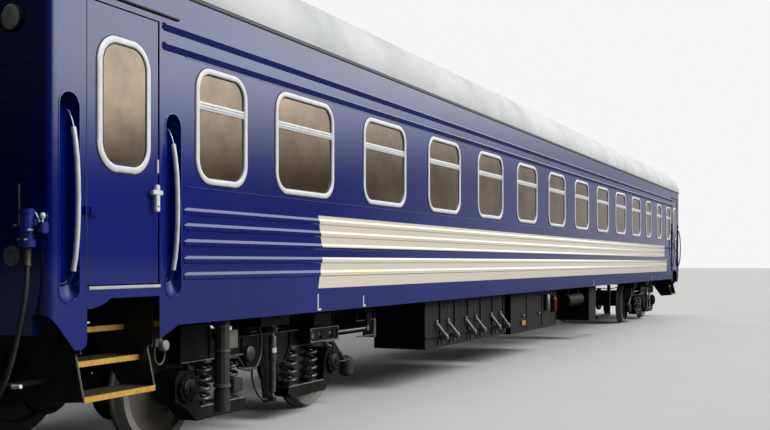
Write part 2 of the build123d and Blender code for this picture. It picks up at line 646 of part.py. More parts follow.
tank = rod_x((from_end(13500), from_end(14550)), *TANK_LINE, TANK_RADIUS, 24)
for x in (13650, 14350):
    tank += block((from_end(x), from_end(x + 50)), (TANK_LINE[0] - 40, TANK_LINE[0] + 40), (RAIL + 915, SILL))
    tank += block((from_end(x), from_end(x + 50)), (-SIDE + 130, -SIDE + 400), (SILL, SILL + 20))
save("air_tanks", both_sides([tank]))

# Soil pipes: an upright pipe in clamp rings, with a narrower spout that is cut off at a slant
SOIL_PIPE_AT = (from_end(2126), -SIDE + 150)
SOIL_PIPE_STAGES = [  # low end and high end above the rail, and radius
    (300, 500, 55),
    (500, 1074, 64),
    (492, 514, 72),
    (786, 802, 68),
    (988, 1006, 72),
]
stages = [
    rod_z(*SOIL_PIPE_AT, (RAIL + low, RAIL + high), radius, 12) for low, high, radius in SOIL_PIPE_STAGES
]
soil_pipe = stages[0] + stages[1:]
slant = [
    (SOIL_PIPE_AT[0] - 60, RAIL + 299),
    (SOIL_PIPE_AT[0] + 60, RAIL + 299),
    (SOIL_PIPE_AT[0] + 60, RAIL + 415),
]
soil_pipe -= side_plate(slant, (SOIL_PIPE_AT[1] - 80, SOIL_PIPE_AT[1] + 80))
save("soil_pipes", turned_round([soil_pipe]))

# Wheelsets: monobloc wheels on an axle with two brake discs
WHEEL = WHEEL_DIAMETER / 2
WHEEL_WIDTH = 130
AXLE = 85
JOURNAL = 65
JOURNAL_END = 1085
BRAKE_DISC, DISC_AT, DISC_HALF = 305, 400, 55
WHEEL_FLATS, DISC_FLATS, AXLE_FLATS = 28, 24, 12
BACK, HUB_LENGTH = BACK_TO_BACK / 2, 145
WHEEL_SECTION = [  # distance outwards from the wheel's back, and radius
    (0, WHEEL + RAIL),
    (22, WHEEL + RAIL),
    (37, WHEEL + 3),
    (WHEEL_WIDTH, WHEEL - 3),
    (WHEEL_WIDTH, WHEEL - 70),
    (94, WHEEL - 93),
    (HUB_LENGTH, 150),
    (HUB_LENGTH, AXLE - 5),
    (0, AXLE - 5),
    (0, 150),
    (56, 330),
    (0, WHEEL - 76),
]
wheel = turned([(-BACK - out, radius) for out, radius in WHEEL_SECTION], WHEEL_FLATS)
wheel -= rod_y(0, (-BACK - HUB_LENGTH - 1, -BACK + 1), 0, AXLE, AXLE_FLATS)
wheel = Pos(0, 0, AXLE_HEIGHT) * wheel
shaft = rod_y(0, (-BACK - HUB_LENGTH - 5, BACK + HUB_LENGTH + 5), 0, AXLE, AXLE_FLATS)
shaft += rod_y(0, (-JOURNAL_END, JOURNAL_END), 0, JOURNAL, AXLE_FLATS)
for y in (-DISC_AT, DISC_AT):
    shaft += rod_y(0, (y - DISC_HALF, y + DISC_HALF), 0, BRAKE_DISC, DISC_FLATS)
axle = Pos(0, 0, AXLE_HEIGHT) * shaft

# Bogie: welded frame, axle box arms, coil springs, bolster and dampers, drawn about its own middle
JOURNAL_PLANE = 1018
BEAM_HALF = 90
BEAM_FACE = -JOURNAL_PLANE - BEAM_HALF
BEAM_LOW, BEAM_HIGH = RAIL + 685, RAIL + 860
BEAM_END, HORN_HIGH = 1350, RAIL + 1000
FLANGE, RECESS = 16, 14
half_outline = [
    (0, RAIL + 560),
    (330, RAIL + 560),
    (420, BEAM_LOW),
    (BEAM_END, BEAM_LOW),
    (BEAM_END, HORN_HIGH),
    (930, HORN_HIGH),
    (905, BEAM_HIGH),
    (0, BEAM_HIGH),
]
beam_outline = half_outline + [(-x, z) for x, z in reversed(half_outline[1:-1])]
side_beam = side_plate(beam_outline, (BEAM_FACE, BEAM_FACE + 2 * BEAM_HALF))
beam_face = make_face(Polyline(*[(x, BEAM_FACE, z) for x, z in beam_outline], close=True))
recess = extrude(offset(beam_face, -FLANGE, kind=Kind.INTERSECTION), RECESS, dir=(0, 1, 0))
recess -= [
    block((x - 8, x + 8), (BEAM_FACE, BEAM_FACE + RECESS), (RAIL + 560, HORN_HIGH))
    for x in (-930, -420, 420, 930)
]
side_beam -= recess
transoms = [
    block((x - 90, x + 90), (-JOURNAL_PLANE + BEAM_HALF, JOURNAL_PLANE - BEAM_HALF), (RAIL + 600, RAIL + 760))
    for x in (-330, 330)
]
bogie_frame = transoms[0] + transoms[1] + both_sides([side_beam])

ARM_SEAT = RAIL + 300
arm_outline = [  # distance from the axle towards the bogie's middle, and height
    (-150, AXLE_HEIGHT - 90),
    (-150, AXLE_HEIGHT + 90),
    (-90, AXLE_HEIGHT + 150),
    (90, AXLE_HEIGHT + 150),
    (150, AXLE_HEIGHT + 60),
    (190, ARM_SEAT),
    (900, ARM_SEAT),
    (900, ARM_SEAT - 70),
    (800, ARM_SEAT - 110),
    (150, ARM_SEAT - 110),
    (0, AXLE_HEIGHT - 165),
]


def axle_arm(side):
    """An axle box with the arm that carries two springs, for the outer axle of a bogie."""
    y = (side * JOURNAL_PLANE - 95, side * JOURNAL_PLANE + 95)
    outline = [(-WHEELBASE / 2 + x, z) for x, z in arm_outline]
    bore = rod_y(-WHEELBASE / 2, (-JOURNAL_END - 5, JOURNAL_END + 5), AXLE_HEIGHT, JOURNAL + 3, 16)
    return side_plate(outline, y) - bore


axle_arms = both_ends([axle_arm(-1), axle_arm(1)])
AXLE_SPRINGS = (340, 750)
COIL_RADIUS, WIRE_HALF = 80, 15
COIL_TURNS, COIL_STEPS = 4.5, 6
WIRE_CORNERS = ((-1, -1), (1, -1), (1, 1), (-1, 1))


def coil(seat, top):
    """A coil spring wound from square bar, whose first and last turns lie flat on their seats."""
    steps = round(COIL_TURNS * COIL_STEPS)
    level = COIL_STEPS * 3 // 4
    loops = []
    for step in range(steps + 1):
        angle = 2 * math.pi * step / COIL_STEPS
        share = min(1, max(0, (step - level) / (steps - 2 * level)))
        z = seat + WIRE_HALF + (top - seat - 2 * WIRE_HALF) * share
        loop = []
        for out, up in WIRE_CORNERS:
            radius = COIL_RADIUS + out * WIRE_HALF
            loop.append(Vector(radius * math.cos(angle), radius * math.sin(angle), z + up * WIRE_HALF))
        loops.append(loop)
    outlines = [loops[0], loops[-1]]
    for a, b in zip(loops, loops[1:]):
        outlines += [[a[1], a[2], b[2], b[1]], [a[3], a[0], b[0], b[3]]]
        for i, j in ((0, 1), (2, 3)):
            outlines += [[a[i], a[j], b[j]], [a[i], b[j], b[i]]]
    return Solid(Shell([Face(Wire.make_polygon(outline, close=True)) for outline in outlines]))


axle_coil = coil(ARM_SEAT, BEAM_LOW)
springs = [
    Pos(half * (WHEELBASE / 2 - inward), side * JOURNAL_PLANE, 0) * axle_coil
    for half in (-1, 1)
    for side in (-1, 1)
    for inward in AXLE_SPRINGS
]
BOLSTER_LOW, BOLSTER_REACH = RAIL + 930, JOURNAL_PLANE + 180
bolster_springs = both_ends(both_sides([rod_z(-190, -JOURNAL_PLANE, (BEAM_HIGH, BOLSTER_LOW), 85, 12)]))
bolster = block((-260, 260), (-BOLSTER_REACH, BOLSTER_REACH), (BOLSTER_LOW, SILL - GAP))

# The upright damper between the bolster's end and a bracket that hangs from the beam
DAMPER_Y = -JOURNAL_PLANE - 145
DAMPER_STAGES = [  # low end and high end above the rail, and radius
    (270, 300, 18),
    (300, 610, 33),
    (610, 835, 37),
    (835, 930, 18),
]
damper = rod_y(0, (DAMPER_Y - 28, BEAM_FACE), RAIL + 245, 30, 12)
for low, high, radius in DAMPER_STAGES:
    damper += rod_z(0, DAMPER_Y, (RAIL + low, RAIL + high), radius, 12)
damper_bracket = side_plate(
    [(-120, RAIL + 560), (-45, RAIL + 205), (45, RAIL + 205), (120, RAIL + 560)], (BEAM_FACE, BEAM_FACE + 20)
)

# The yaw damper in its console on the beam, with a rod that ends under the bracket of the body
console = block((590, 1200), (YAW_LINE[0] - 45, BEAM_FACE), (RAIL + 718, RAIL + 868))
console -= block((612, 1178), (YAW_LINE[0] - 45, YAW_LINE[0] - 37), (RAIL + 738, RAIL + 848))
yaw_damper = console + rod_x((1200, YAW_EYE - 20), *YAW_LINE, 20, 12)
yaw_damper += rod_y(YAW_EYE, (YAW_LINE[0] - 28, YAW_LINE[0] + 28), YAW_LINE[1], YAW_EYE_RADIUS, 12)

# Brake calipers on the transoms, each with two arms that reach round its disc
calipers = []
for y in (-DISC_AT, DISC_AT):
    calipers.append(block((-960, -330), (y - 90, y + 90), (RAIL + 500, RAIL + 620)))
    for side in (-1, 1):
        arm = [y + side * (DISC_HALF + 8), y + side * 90]
        calipers.append(block((-1140, -960), sorted(arm), (RAIL + 440, RAIL + 580)))
bogie_frame = bogie_frame + both_ends(calipers) + both_sides([damper_bracket])

BOGIES = [("near", -1), ("far", 1)]
for name, end in BOGIES:
    centre = Pos(end * BOGIE_CENTRES / 2, 0, 0)
    turn = centre * Rot(0, 0, 0 if end < 0 else 180)
    save(f"bogie_frame_{name}", [centre * bogie_frame])
    save(f"axle_arms_{name}", [centre * shape for shape in axle_arms])
    save(f"bogie_springs_{name}", [centre * shape for shape in springs + bolster_springs])
    save(f"bogie_bolster_{name}", [centre * bolster])
    dampers = both_sides([damper, yaw_damper])
    save(f"bogie_dampers_{name}", [turn * shape for shape in dampers])
    for place, offset in (("outer", end * WHEELBASE / 2), ("inner", -end * WHEELBASE / 2)):
        at = Pos(end * BOGIE_CENTRES / 2 + offset, 0, 0)
        save(f"wheels_{name}_{place}", [at * shape for shape in both_sides([wheel])])
        save(f"axle_{name}_{place}", [at * axle])
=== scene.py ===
import math

import bmesh
import bpy
from mathutils import Matrix, Vector


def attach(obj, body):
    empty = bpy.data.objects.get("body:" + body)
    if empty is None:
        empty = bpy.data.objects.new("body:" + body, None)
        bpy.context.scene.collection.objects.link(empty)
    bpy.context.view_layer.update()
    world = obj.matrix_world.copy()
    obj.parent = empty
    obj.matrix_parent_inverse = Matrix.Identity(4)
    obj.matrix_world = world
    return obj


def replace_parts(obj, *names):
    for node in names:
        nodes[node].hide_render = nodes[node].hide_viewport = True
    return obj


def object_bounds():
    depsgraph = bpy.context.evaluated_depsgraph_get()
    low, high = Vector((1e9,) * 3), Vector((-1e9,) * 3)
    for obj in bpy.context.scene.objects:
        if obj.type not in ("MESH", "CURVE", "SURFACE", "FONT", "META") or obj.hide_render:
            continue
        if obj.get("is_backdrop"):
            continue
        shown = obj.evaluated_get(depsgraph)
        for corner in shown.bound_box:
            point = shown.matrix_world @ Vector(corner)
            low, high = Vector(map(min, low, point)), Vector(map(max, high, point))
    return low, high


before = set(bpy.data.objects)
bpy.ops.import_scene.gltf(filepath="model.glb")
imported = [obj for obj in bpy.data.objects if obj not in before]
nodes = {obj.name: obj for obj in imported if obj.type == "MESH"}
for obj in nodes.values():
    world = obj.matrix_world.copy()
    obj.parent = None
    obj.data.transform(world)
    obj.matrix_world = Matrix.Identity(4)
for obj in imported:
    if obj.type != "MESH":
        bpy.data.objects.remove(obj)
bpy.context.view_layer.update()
scene = bpy.context.scene

# Camera
# It stands beside the near end, at eye height, and looks level along the photographed side.
# The view is shifted upwards, so that upright lines stay upright.
EYE = (-17.59, -6.10, 1.554)
HEADING = math.radians(-65.03)
LENS, FILM_WIDTH, VIEW_RISE, VIEW_REACH = 46.75, 36.0, 0.0613, 500
camera_data = bpy.data.cameras.new("camera")
camera_data.lens = LENS
camera_data.sensor_width = FILM_WIDTH
camera_data.shift_y = VIEW_RISE
camera_data.clip_end = VIEW_REACH
camera = bpy.data.objects.new("camera", camera_data)
camera.location = EYE
camera.rotation_euler = (math.pi / 2, 0, HEADING)
scene.collection.objects.link(camera)
scene.camera = camera

# Electric jumper cable
# A thick cable with a black rubber jacket, for the current that heats and lights the coach.
# It hangs from its plug head in a deep bight and goes back into a junction box on the end wall.
RAIL = 0.028
END, SIDE = 12.75, 1.51
CABLE_PLANE = -END - 0.070
CABLE_WIDTH, CABLE_LENGTH = 0.032, 1.91
CABLE_ROUTE = [  # y and height above the rail
    (-1.385, 1.510), (-1.385, 1.400), (-1.358, 1.255), (-1.315, 1.080), (-1.255, 0.880),
    (-1.165, 0.690), (-1.035, 0.545), (-0.870, 0.490), (-0.720, 0.560), (-0.640, 0.720),
    (-0.610, 0.900), (-0.610, 1.080),
]


def linear(colour):
    """The linear colour of an sRGB hex value."""
    channels = [int(colour[i : i + 2], 16) / 255 for i in (1, 3, 5)]
    return [c / 12.92 if c <= 0.04045 else ((c + 0.055) / 1.055) ** 2.4 for c in channels] + [1.0]


def add(tree, kind, settings=None, inputs=None):
    """Adds a node with its settings, and fills its inputs with values or with links from other nodes."""
    made = tree.nodes.new(kind)
    for key, value in (settings or {}).items():
        setattr(made, key, value)
    for key, value in (inputs or {}).items():
        if isinstance(value, bpy.types.Node):
            value = value.outputs[0]
        if isinstance(value, bpy.types.NodeSocket):
            tree.links.new(value, made.inputs[key])
        else:
            made.inputs[key].default_value = value
    return made


DUST = "#6b6150"
# Settings that many nodes share: a blend of two colours, a product, a difference and a comparison
BLEND = {"data_type": "RGBA"}
TIMES, MINUS, UNDER = ({"operation": kind} for kind in ("MULTIPLY", "SUBTRACT", "LESS_THAN"))
PATCH_EDGE = (0.38, 0.68)


def coated(
    name, colour, worn, patch, rough, grain=0.01, relief=0.0, metallic=0.0, dust=0.0, coat=0.0, shine=0.5
):
    """A finish in two tones, with dust on what faces up. Patch and grain are sizes, and relief a depth."""
    material = bpy.data.materials.new(name)
    material.use_nodes = True
    tree = material.node_tree
    shader = tree.nodes["Principled BSDF"]
    place = add(tree, "ShaderNodeTexCoord").outputs["Object"]
    cloud = {"Vector": place, "Scale": 1 / patch, "Detail": 5.0, "Roughness": 0.6}
    patches = add(tree, "ShaderNodeTexNoise", {}, cloud)
    edge = {"Value": patches, "From Min": PATCH_EDGE[0], "From Max": PATCH_EDGE[1]}
    tones = {0: add(tree, "ShaderNodeMapRange", {}, edge), 6: linear(colour), 7: linear(worn)}
    tone = add(tree, "ShaderNodeMix", BLEND, tones).outputs[2]
    if dust:
        normal = add(tree, "ShaderNodeNewGeometry").outputs["Normal"]
        upward = add(tree, "ShaderNodeSeparateXYZ", {}, {0: normal}).outputs["Z"]
        slope = {"Value": upward, "From Min": -0.2, "From Max": 1.0, "To Min": 0.15 * dust, "To Max": dust}
        lying = add(tree, "ShaderNodeMapRange", {}, slope)
        cover = add(tree, "ShaderNodeMath", TIMES, {0: lying, 1: patches})
        tones = {0: cover, 6: tone, 7: linear(DUST)}
        tone = add(tree, "ShaderNodeMix", BLEND, tones).outputs[2]
    tree.links.new(tone, shader.inputs["Base Color"])
    sheen = {"Value": patches, "To Min": max(0.0, rough - 0.08), "To Max": min(1.0, rough + 0.12)}
    gloss = add(tree, "ShaderNodeMapRange", {}, sheen)
    tree.links.new(gloss.outputs[0], shader.inputs["Roughness"])
    if relief:
        fine = add(tree, "ShaderNodeTexNoise", {}, {"Vector": place, "Scale": 1 / grain, "Detail": 3.0})
        bump = add(tree, "ShaderNodeBump", {}, {"Height": fine, "Strength": 1.0, "Distance": relief})
        tree.links.new(bump.outputs[0], shader.inputs["Normal"])
    shader.inputs["Metallic"].default_value = metallic
    shader.inputs["Specular IOR Level"].default_value = shine
    shader.inputs["Coat Weight"].default_value = coat
    shader.inputs["Coat Roughness"].default_value = 0.08
    return material


# Rubber jacket: dull black with a grey bloom of road dust
cable_rubber = coated("cable_rubber", "#232527", "#34373a", 0.05, 0.55, 0.003, 0.0004, dust=0.5)


def hung_line(name, points, width, material, body, sides):
    """A smooth cord along its control points, as one open spline that keeps its ends."""
    data = bpy.data.curves.new(name, "CURVE")
    data.dimensions = "3D"
    spline = data.splines.new("NURBS")
    spline.points.add(len(points) - 1)
    for control, point in zip(spline.points, points):
        control.co = (*point, 1.0)
    spline.order_u = 3
    spline.use_endpoint_u = True
    data.resolution_u = 8
    data.bevel_depth = width / 2
    data.bevel_resolution = sides // 2 - 1
    data.use_fill_caps = True
    data.materials.append(material)
    cord = bpy.data.objects.new(name, data)
    scene.collection.objects.link(cord)
    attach(cord, body)
    return cord


cable_points = [(CABLE_PLANE, y, RAIL + z) for y, z in CABLE_ROUTE]
jumper = hung_line("jumper_line", cable_points, CABLE_WIDTH, cable_rubber, "coach_body", 12)
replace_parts(jumper, "jumper_cable")

# Wheelsets
# Wheels rolled from one piece of steel, pressed on a forged axle between two cast brake discs.
# Running on the rail keeps the tread bright, while brake dust browns the faces.
BOGIE_AT, HALF_BASE = 9.5, 1.28
WHEEL_SIZE = 0.957
AXLE_UP = WHEEL_SIZE / 2 + RAIL
WHEEL_BACK = 0.720
WHEEL_SECTION = [  # distance outwards from the wheel's back, and radius
    (0.000, 0.5050), (0.005, 0.5065), (0.019, 0.5065), (0.026, 0.5020), (0.037, 0.4825),
    (0.052, 0.4790), (0.122, 0.4765), (0.130, 0.4720), (0.130, 0.4100), (0.123, 0.4045),
    (0.100, 0.3990), (0.091, 0.3850), (0.098, 0.3000), (0.122, 0.2000), (0.138, 0.1550),
    (0.145, 0.1480), (0.145, 0.0860), (0.000, 0.0860), (0.000, 0.1500), (0.014, 0.1660),
    (0.058, 0.2400), (0.062, 0.3400), (0.045, 0.3850), (0.008, 0.4000), (0.000, 0.4080),
]
AXLE_SECTION = [  # distance from the middle, and radius
    (-1.085, 0.0), (-1.085, 0.062), (-1.078, 0.065), (-0.900, 0.065), (-0.880, 0.085), (-0.720, 0.086),
    (-0.700, 0.080), (-0.460, 0.078), (-0.455, 0.120), (-0.432, 0.120), (-0.430, 0.305),
    (-0.405, 0.305), (-0.403, 0.270), (-0.392, 0.270), (-0.390, 0.305), (-0.365, 0.305),
    (-0.363, 0.120), (-0.345, 0.120), (-0.340, 0.078), (0.0, 0.076),
]
WHEEL_STEPS, AXLE_STEPS = 72, 40
# Radii that the rail keeps bright, and radii of the rim's two edges, which are less bright
TREAD, TREAD_SHINE = (0.4750, 0.4840), 0.9
RIM_EDGES, EDGE_SHINE = [(0.403, 0.412), (0.470, 0.478)], 0.4
FLANGE_WIDTH, RIM_FACE = 0.030, 0.115
BOGIES = [("near", -1), ("far", 1)]


def skinned(shape, loops, closed=False):
    """Adds the skin between loops of points, of which any may be a single point, and caps open ends."""
    for a, b in zip(loops, loops[1:] + (loops[:1] if closed else [])):
        count = max(len(a), len(b))
        for i in range(count):
            j = (i + 1) % count
            corners = (a[i % len(a)], a[j % len(a)], b[j % len(b)], b[i % len(b)])
            shape.faces.new(list(dict.fromkeys(corners)))
    for loop in (loops[0], loops[-1]):
        if not closed and len(loop) > 1:
            shape.faces.new(loop)


def turned(shape, section, origin, steps, axis="Y", closed=False):
    """Adds a piece turned about an axis through the origin, from (distance along it, radius) points."""
    loops = []
    for along_axis, radius in section:
        loop = []
        for step in range(steps if radius else 1):
            angle = 2 * math.pi * step / steps
            a, b = radius * math.cos(angle), radius * math.sin(angle)
            reach = {"X": (along_axis, -a, b), "Y": (a, along_axis, b), "Z": (a, -b, along_axis)}[axis]
            loop.append(shape.verts.new([start + way for start, way in zip(origin, reach)]))
        loops.append(loop)
    skinned(shape, loops, closed)


def plain(low, high, radius):
    """The section of a plain cylinder between two distances along its axis."""
    return [(low, 0.0), (low, radius), (high, radius), (high, 0.0)]


def finished(name, shape, material, body, sharp=35):
    """Turns the gathered shape into a piece with its finish, riding on a body of the frame."""
    bmesh.ops.recalc_face_normals(shape, faces=shape.faces)
    mesh = bpy.data.meshes.new(name)
    shape.to_mesh(mesh)
    shape.free()
    mesh.materials.append(material)
    mesh.polygons.foreach_set("use_smooth", [True] * len(mesh.polygons))
    mesh.set_sharp_from_angle(angle=math.radians(sharp))
    made = bpy.data.objects.new(name, mesh)
    scene.collection.objects.link(made)
    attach(made, body)
    return made


def overlaid(material, mask, colour):
    """Lays a second colour over a finish, wherever the mask says so."""
    tree = material.node_tree
    base = tree.nodes["Principled BSDF"].inputs["Base Color"]
    tones = {0: mask, 6: base.links[0].from_socket, 7: linear(colour)}
    both = add(tree, "ShaderNodeMix", BLEND, tones)
    tree.links.new(both.outputs[2], base)


def painted(finish, *names):
    """Gives pieces of the frame their finish."""
    for name in names:
        nodes[name].data.materials[0] = finish


# Rolled steel: bright on the tread, rusty brown with brake dust elsewhere
wheel_steel = coated("rolled_wheel_steel", "#5a5852", "#6a6156", 0.09, 0.6, 0.004, 0.0006, 0.2, dust=0.5)
shine = add(wheel_steel.node_tree, "ShaderNodeAttribute", {"attribute_name": "tread"}).outputs["Fac"]
overlaid(wheel_steel, shine, "#a9a8a4")
# Forged and cast steel of the axle and its discs, dark and rough
axle_steel = coated("forged_axle_steel", "#3d3a37", "#4d463e", 0.06, 0.6, 0.004, 0.0005, 0.3, dust=0.6)

for name, end in BOGIES:
    for place, side in (("outer", 1), ("inner", -1)):
        body = f"wheelset_{name}_{place}"
        at = (end * (BOGIE_AT + side * HALF_BASE), 0, AXLE_UP)
        shape = bmesh.new()
        for hand in (-1, 1):
            section = [(hand * (WHEEL_BACK + out), radius) for out, radius in WHEEL_SECTION]
            turned(shape, section, at, WHEEL_STEPS, closed=True)
        wheels = finished(f"wheel_pair_{name}_{place}", shape, wheel_steel, body)
        shine = wheels.data.attributes.new("tread", "FLOAT", "POINT")
        for vertex, mark in zip(wheels.data.vertices, shine.data):
            radius = math.hypot(vertex.co.x - at[0], vertex.co.z - at[2])
            outward = abs(vertex.co.y) - WHEEL_BACK
            on_tread = outward > FLANGE_WIDTH and TREAD[0] < radius < TREAD[1]
            on_edge = outward > RIM_FACE and any(low < radius < high for low, high in RIM_EDGES)
            mark.value = TREAD_SHINE if on_tread else EDGE_SHINE if on_edge else 0.0
        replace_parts(wheels, f"wheels_{name}_{place}")
        shape = bmesh.new()
        turned(shape, AXLE_SECTION + [(-y, r) for y, r in reversed(AXLE_SECTION[:-1])], at, AXLE_STEPS)
        axle = finished(f"axle_and_discs_{name}_{place}", shape, axle_steel, body)
        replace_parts(axle, f"axle_{name}_{place}")

# Bogie frames and axle boxes
# Box beams welded from plate, and cast axle boxes with an arm that carries two springs.
# They are painted black, and brake and track dust lies over them; their black is made darker still by painted
# shade from under the coach.
BEAM_PLANE = 1.018
# A dull black that catches hardly any light, partly its paint and partly painted shade from under the coach,
# browned by dust
bogie_black_and_shade = coated(
    "dusty_black_enamel_and_painted_shade", "#08090a", "#101112", 0.12, 0.42, 0.006, 0.0005, dust=0.12, shine=0.2
)
for name, end in BOGIES:
    painted(bogie_black_and_shade, f"bogie_frame_{name}", f"axle_arms_{name}", f"bogie_bolster_{name}")


def from_end(distance):
    """The place along the coach that lies this far behind its near end."""
    return -END + distance


def along(start, finish):
    """Limits along the coach, from distances behind its near end."""
    return from_end(start), from_end(finish)


def above(low, high):
    """Limits in height, from heights above the rail."""
    return RAIL + low, RAIL + high


def slab(shape, x, y, z, ease=0.004):
    """Adds a block from its limits along each axis, with its edges eased."""
    middle = [(a + b) / 2 for a, b in (x, y, z)]
    sizes = [abs(b - a) for a, b in (x, y, z)]
    place = Matrix.Translation(middle) @ Matrix.Diagonal((*sizes, 1))
    made = bmesh.ops.create_cube(shape, size=1, matrix=place)["verts"]
    edges = list({edge for vertex in made for edge in vertex.link_edges})
    if ease:
        bmesh.ops.bevel(shape, geom=edges, offset=ease, segments=2, affect="EDGES", clamp_overlap=True)


def slabs(*blocks):
    """A new shape of blocks, from limits behind the near end, across and above the rail, and an easing."""
    shape = bmesh.new()
    for x, y, z, ease in blocks:
        slab(shape, along(*x), y, above(*z), ease)
    return shape


def bar(shape, points, radius, sides=10):
    """Adds a round bar or tube along a line of points, with closed ends."""
    points = [Vector(point) for point in points]
    runs = [(b - a).normalized() for a, b in zip(points, points[1:])]
    aside = runs[0].orthogonal().normalized()
    loops = []
    for i, point in enumerate(points):
        before, after = runs[max(i - 1, 0)], runs[min(i, len(runs) - 1)]
        along_bar = (before + after).normalized()
        aside = (aside - along_bar * aside.dot(along_bar)).normalized()
        across = along_bar.cross(aside)
        # A mitre is longer than the bar is thick, on the line that halves the bend
        stretch = 1 / max(0.5, along_bar.dot(after))
        bend = (after - before).normalized() if (after - before).length > 1e-6 else None
        loop = []
        for step in range(sides):
            angle = 2 * math.pi * step / sides
            reach = (aside * math.cos(angle) + across * math.sin(angle)) * radius
            if bend:
                reach += bend * reach.dot(bend) * (stretch - 1)
            loop.append(shape.verts.new(point + reach))
        loops.append(loop)
    skinned(shape, loops)


def copied(shape, places):
    """A new shape with a copy of the given one at each place, mirrored copies included."""
    source = bpy.data.meshes.new("source")
    shape.to_mesh(source)
    shape.free()
    whole = bmesh.new()
    for place in places:
        start = len(whole.verts)
        whole.from_mesh(source)
        whole.verts.ensure_lookup_table()
        bmesh.ops.transform(whole, matrix=place, verts=whole.verts[start:])
    bpy.data.meshes.remove(source)
    return whole


# What is made for the photographed side's near corner is copied to the others by these
HERE = Matrix.Identity(4)
MIRROR_Y = Matrix.Diagonal((1, -1, 1, 1))
MIRROR_X = Matrix.Diagonal((-1, 1, 1, 1))
HALF_TURN = Matrix.Rotation(math.pi, 4, "Z")
BOTH_SIDES = [HERE, MIRROR_Y]
TURNED_PAIR = [HERE, HALF_TURN]
ALL_CORNERS = [HERE, MIRROR_Y, MIRROR_X, HALF_TURN]


def bogie_places(end):
    """Where a detail of the photographed side goes on one bogie: that side, and its mirror on the other."""
    stand = Matrix.Translation((end * BOGIE_AT, 0, 0)) @ (HERE if end < 0 else HALF_TURN)
    return [stand, stand @ MIRROR_Y]


EDGE_LINES = [  # along the bogie and height above the rail, each line along one run of a side beam's edge
    [(-0.420, 0.693), (-1.345, 0.693)],
    [(0.420, 0.693), (1.350, 0.693)],
    [(-0.300, 0.852), (0.905, 0.852)],
]
BEAM_FACE = -BEAM_PLANE - 0.090
BOX_FACE = -BEAM_PLANE - 0.095
COVER = [(-0.050, 0.0), (-0.050, 0.070), (-0.043, 0.082), (-0.030, 0.086), (-0.028, 0.118), (0.010, 0.120)]
COVER_BOLTS, BOLT_CIRCLE = 8, 0.102
BRAKE_PIPES = [  # radius, then points along the bogie and above the rail
    (0.012, [(-0.25, 0.99), (-0.2, 0.92), (-0.168, 0.83), (-0.166, 0.73), (-0.19, 0.64), (-0.255, 0.565)]),
    (0.012, [(-0.255, 0.565), (-0.330, 0.542), (-0.455, 0.560), (-0.555, 0.585)]),
    (0.009, [(-0.700, 0.684), (-0.625, 0.697), (-0.560, 0.680), (-0.505, 0.630), (-0.450, 0.562)]),
    (0.010, [(-0.326, 0.56), (-0.322, 0.48), (-0.28, 0.37), (-0.215, 0.295), (-0.15, 0.255), (-0.07, 0.24)]),
    (0.010, [(1.255, 0.64), (1.27, 0.575), (1.31, 0.51), (1.4, 0.468), (1.5, 0.462), (1.6, 0.475)]),
    (0.009, [(0.720, 0.560), (0.755, 0.500), (0.790, 0.400), (0.800, 0.325)]),
    (0.011, [(-0.927, 0.950), (-0.905, 0.880), (-0.872, 0.800), (-0.872, 0.730)]),
]
ROUND_VALVE = [(-0.034, 0.0), (-0.034, 0.060), (-0.026, 0.072), (0.0, 0.076), (0.012, 0.060), (0.012, 0.0)]
CYLINDER = [(0.275, 0.0), (0.275, 0.060), (0.295, 0.082), (0.450, 0.082), (0.480, 0.055), (0.500, 0.0)]
CYLINDER_X, CYLINDER_Y = 1.770, -1.030
VALVE_X, VALVE_UP = -0.325, 0.690
SMALL_BOX = ((-0.635, -0.483), (0.375, 0.490))  # along the bogie, and height above the rail
BOX_STRAPS = (-0.600, -0.518)
CYLINDER_ARM = [(1.300, 0.730), (1.480, 0.640), (1.740, 0.430)]  # along the bogie and above the rail


def box_covers():
    """The round covers of the two axle boxes of one side, each with eight bolts and a plug."""
    shape = bmesh.new()
    for x in (-HALF_BASE, HALF_BASE):
        turned(shape, COVER, (x, BOX_FACE, AXLE_UP), 32)
        for step in range(COVER_BOLTS):
            angle = 2 * math.pi * (step + 0.5) / COVER_BOLTS
            away, up = BOLT_CIRCLE * math.cos(angle), BOLT_CIRCLE * math.sin(angle)
            head = [(-0.014, 0.0), (-0.014, 0.011), (0.004, 0.012)]
            turned(shape, head, (x + away, BOX_FACE - 0.027, AXLE_UP + up), 6)
        turned(shape, [(-0.062, 0.0), (-0.062, 0.020), (-0.045, 0.024)], (x, BOX_FACE, AXLE_UP), 12)
    return shape


def edge_highlight_bars():
    """Light bars along the rounded edges of a side beam's flanges and of its spring seats, a painted
    highlight.
    """
    shape = bmesh.new()
    seats = [[(half * 1.085, 0.303), (half * 0.385, 0.303)] for half in (-1, 1)]
    for face, lines in ((BEAM_FACE, EDGE_LINES), (BOX_FACE, seats)):
        for line in lines:
            bar(shape, [(x, face - 0.001, RAIL + z) for x, z in line], 0.007, 8)
    return shape


def brake_gear():
    """Steel pipes, a round valve and a small box that show between the springs and over the wheels."""
    shape = bmesh.new()
    for radius, line in BRAKE_PIPES:
        bar(shape, [(x, BEAM_FACE - 0.035, RAIL + z) for x, z in line], radius, 10)
    turned(shape, ROUND_VALVE, (VALVE_X, BEAM_FACE, RAIL + VALVE_UP), 28)
    depth = (BEAM_FACE - 0.045, BEAM_FACE + 0.120)
    slab(shape, SMALL_BOX[0], depth, above(*SMALL_BOX[1]), 0.008)
    for x in BOX_STRAPS:
        slab(shape, (x - 0.012, x + 0.012), (-1.010, -0.985), above(0.480, 0.700), 0.003)
    return shape


def brake_cylinder():
    """The upright brake cylinder behind the inner wheel, on a slanted arm from the side beam."""
    shape = bmesh.new()
    turned(shape, CYLINDER, (CYLINDER_X, CYLINDER_Y, RAIL), 24, "Z")
    bar(shape, [(x, CYLINDER_Y, RAIL + z) for x, z in CYLINDER_ARM], 0.026, 10)
    return shape
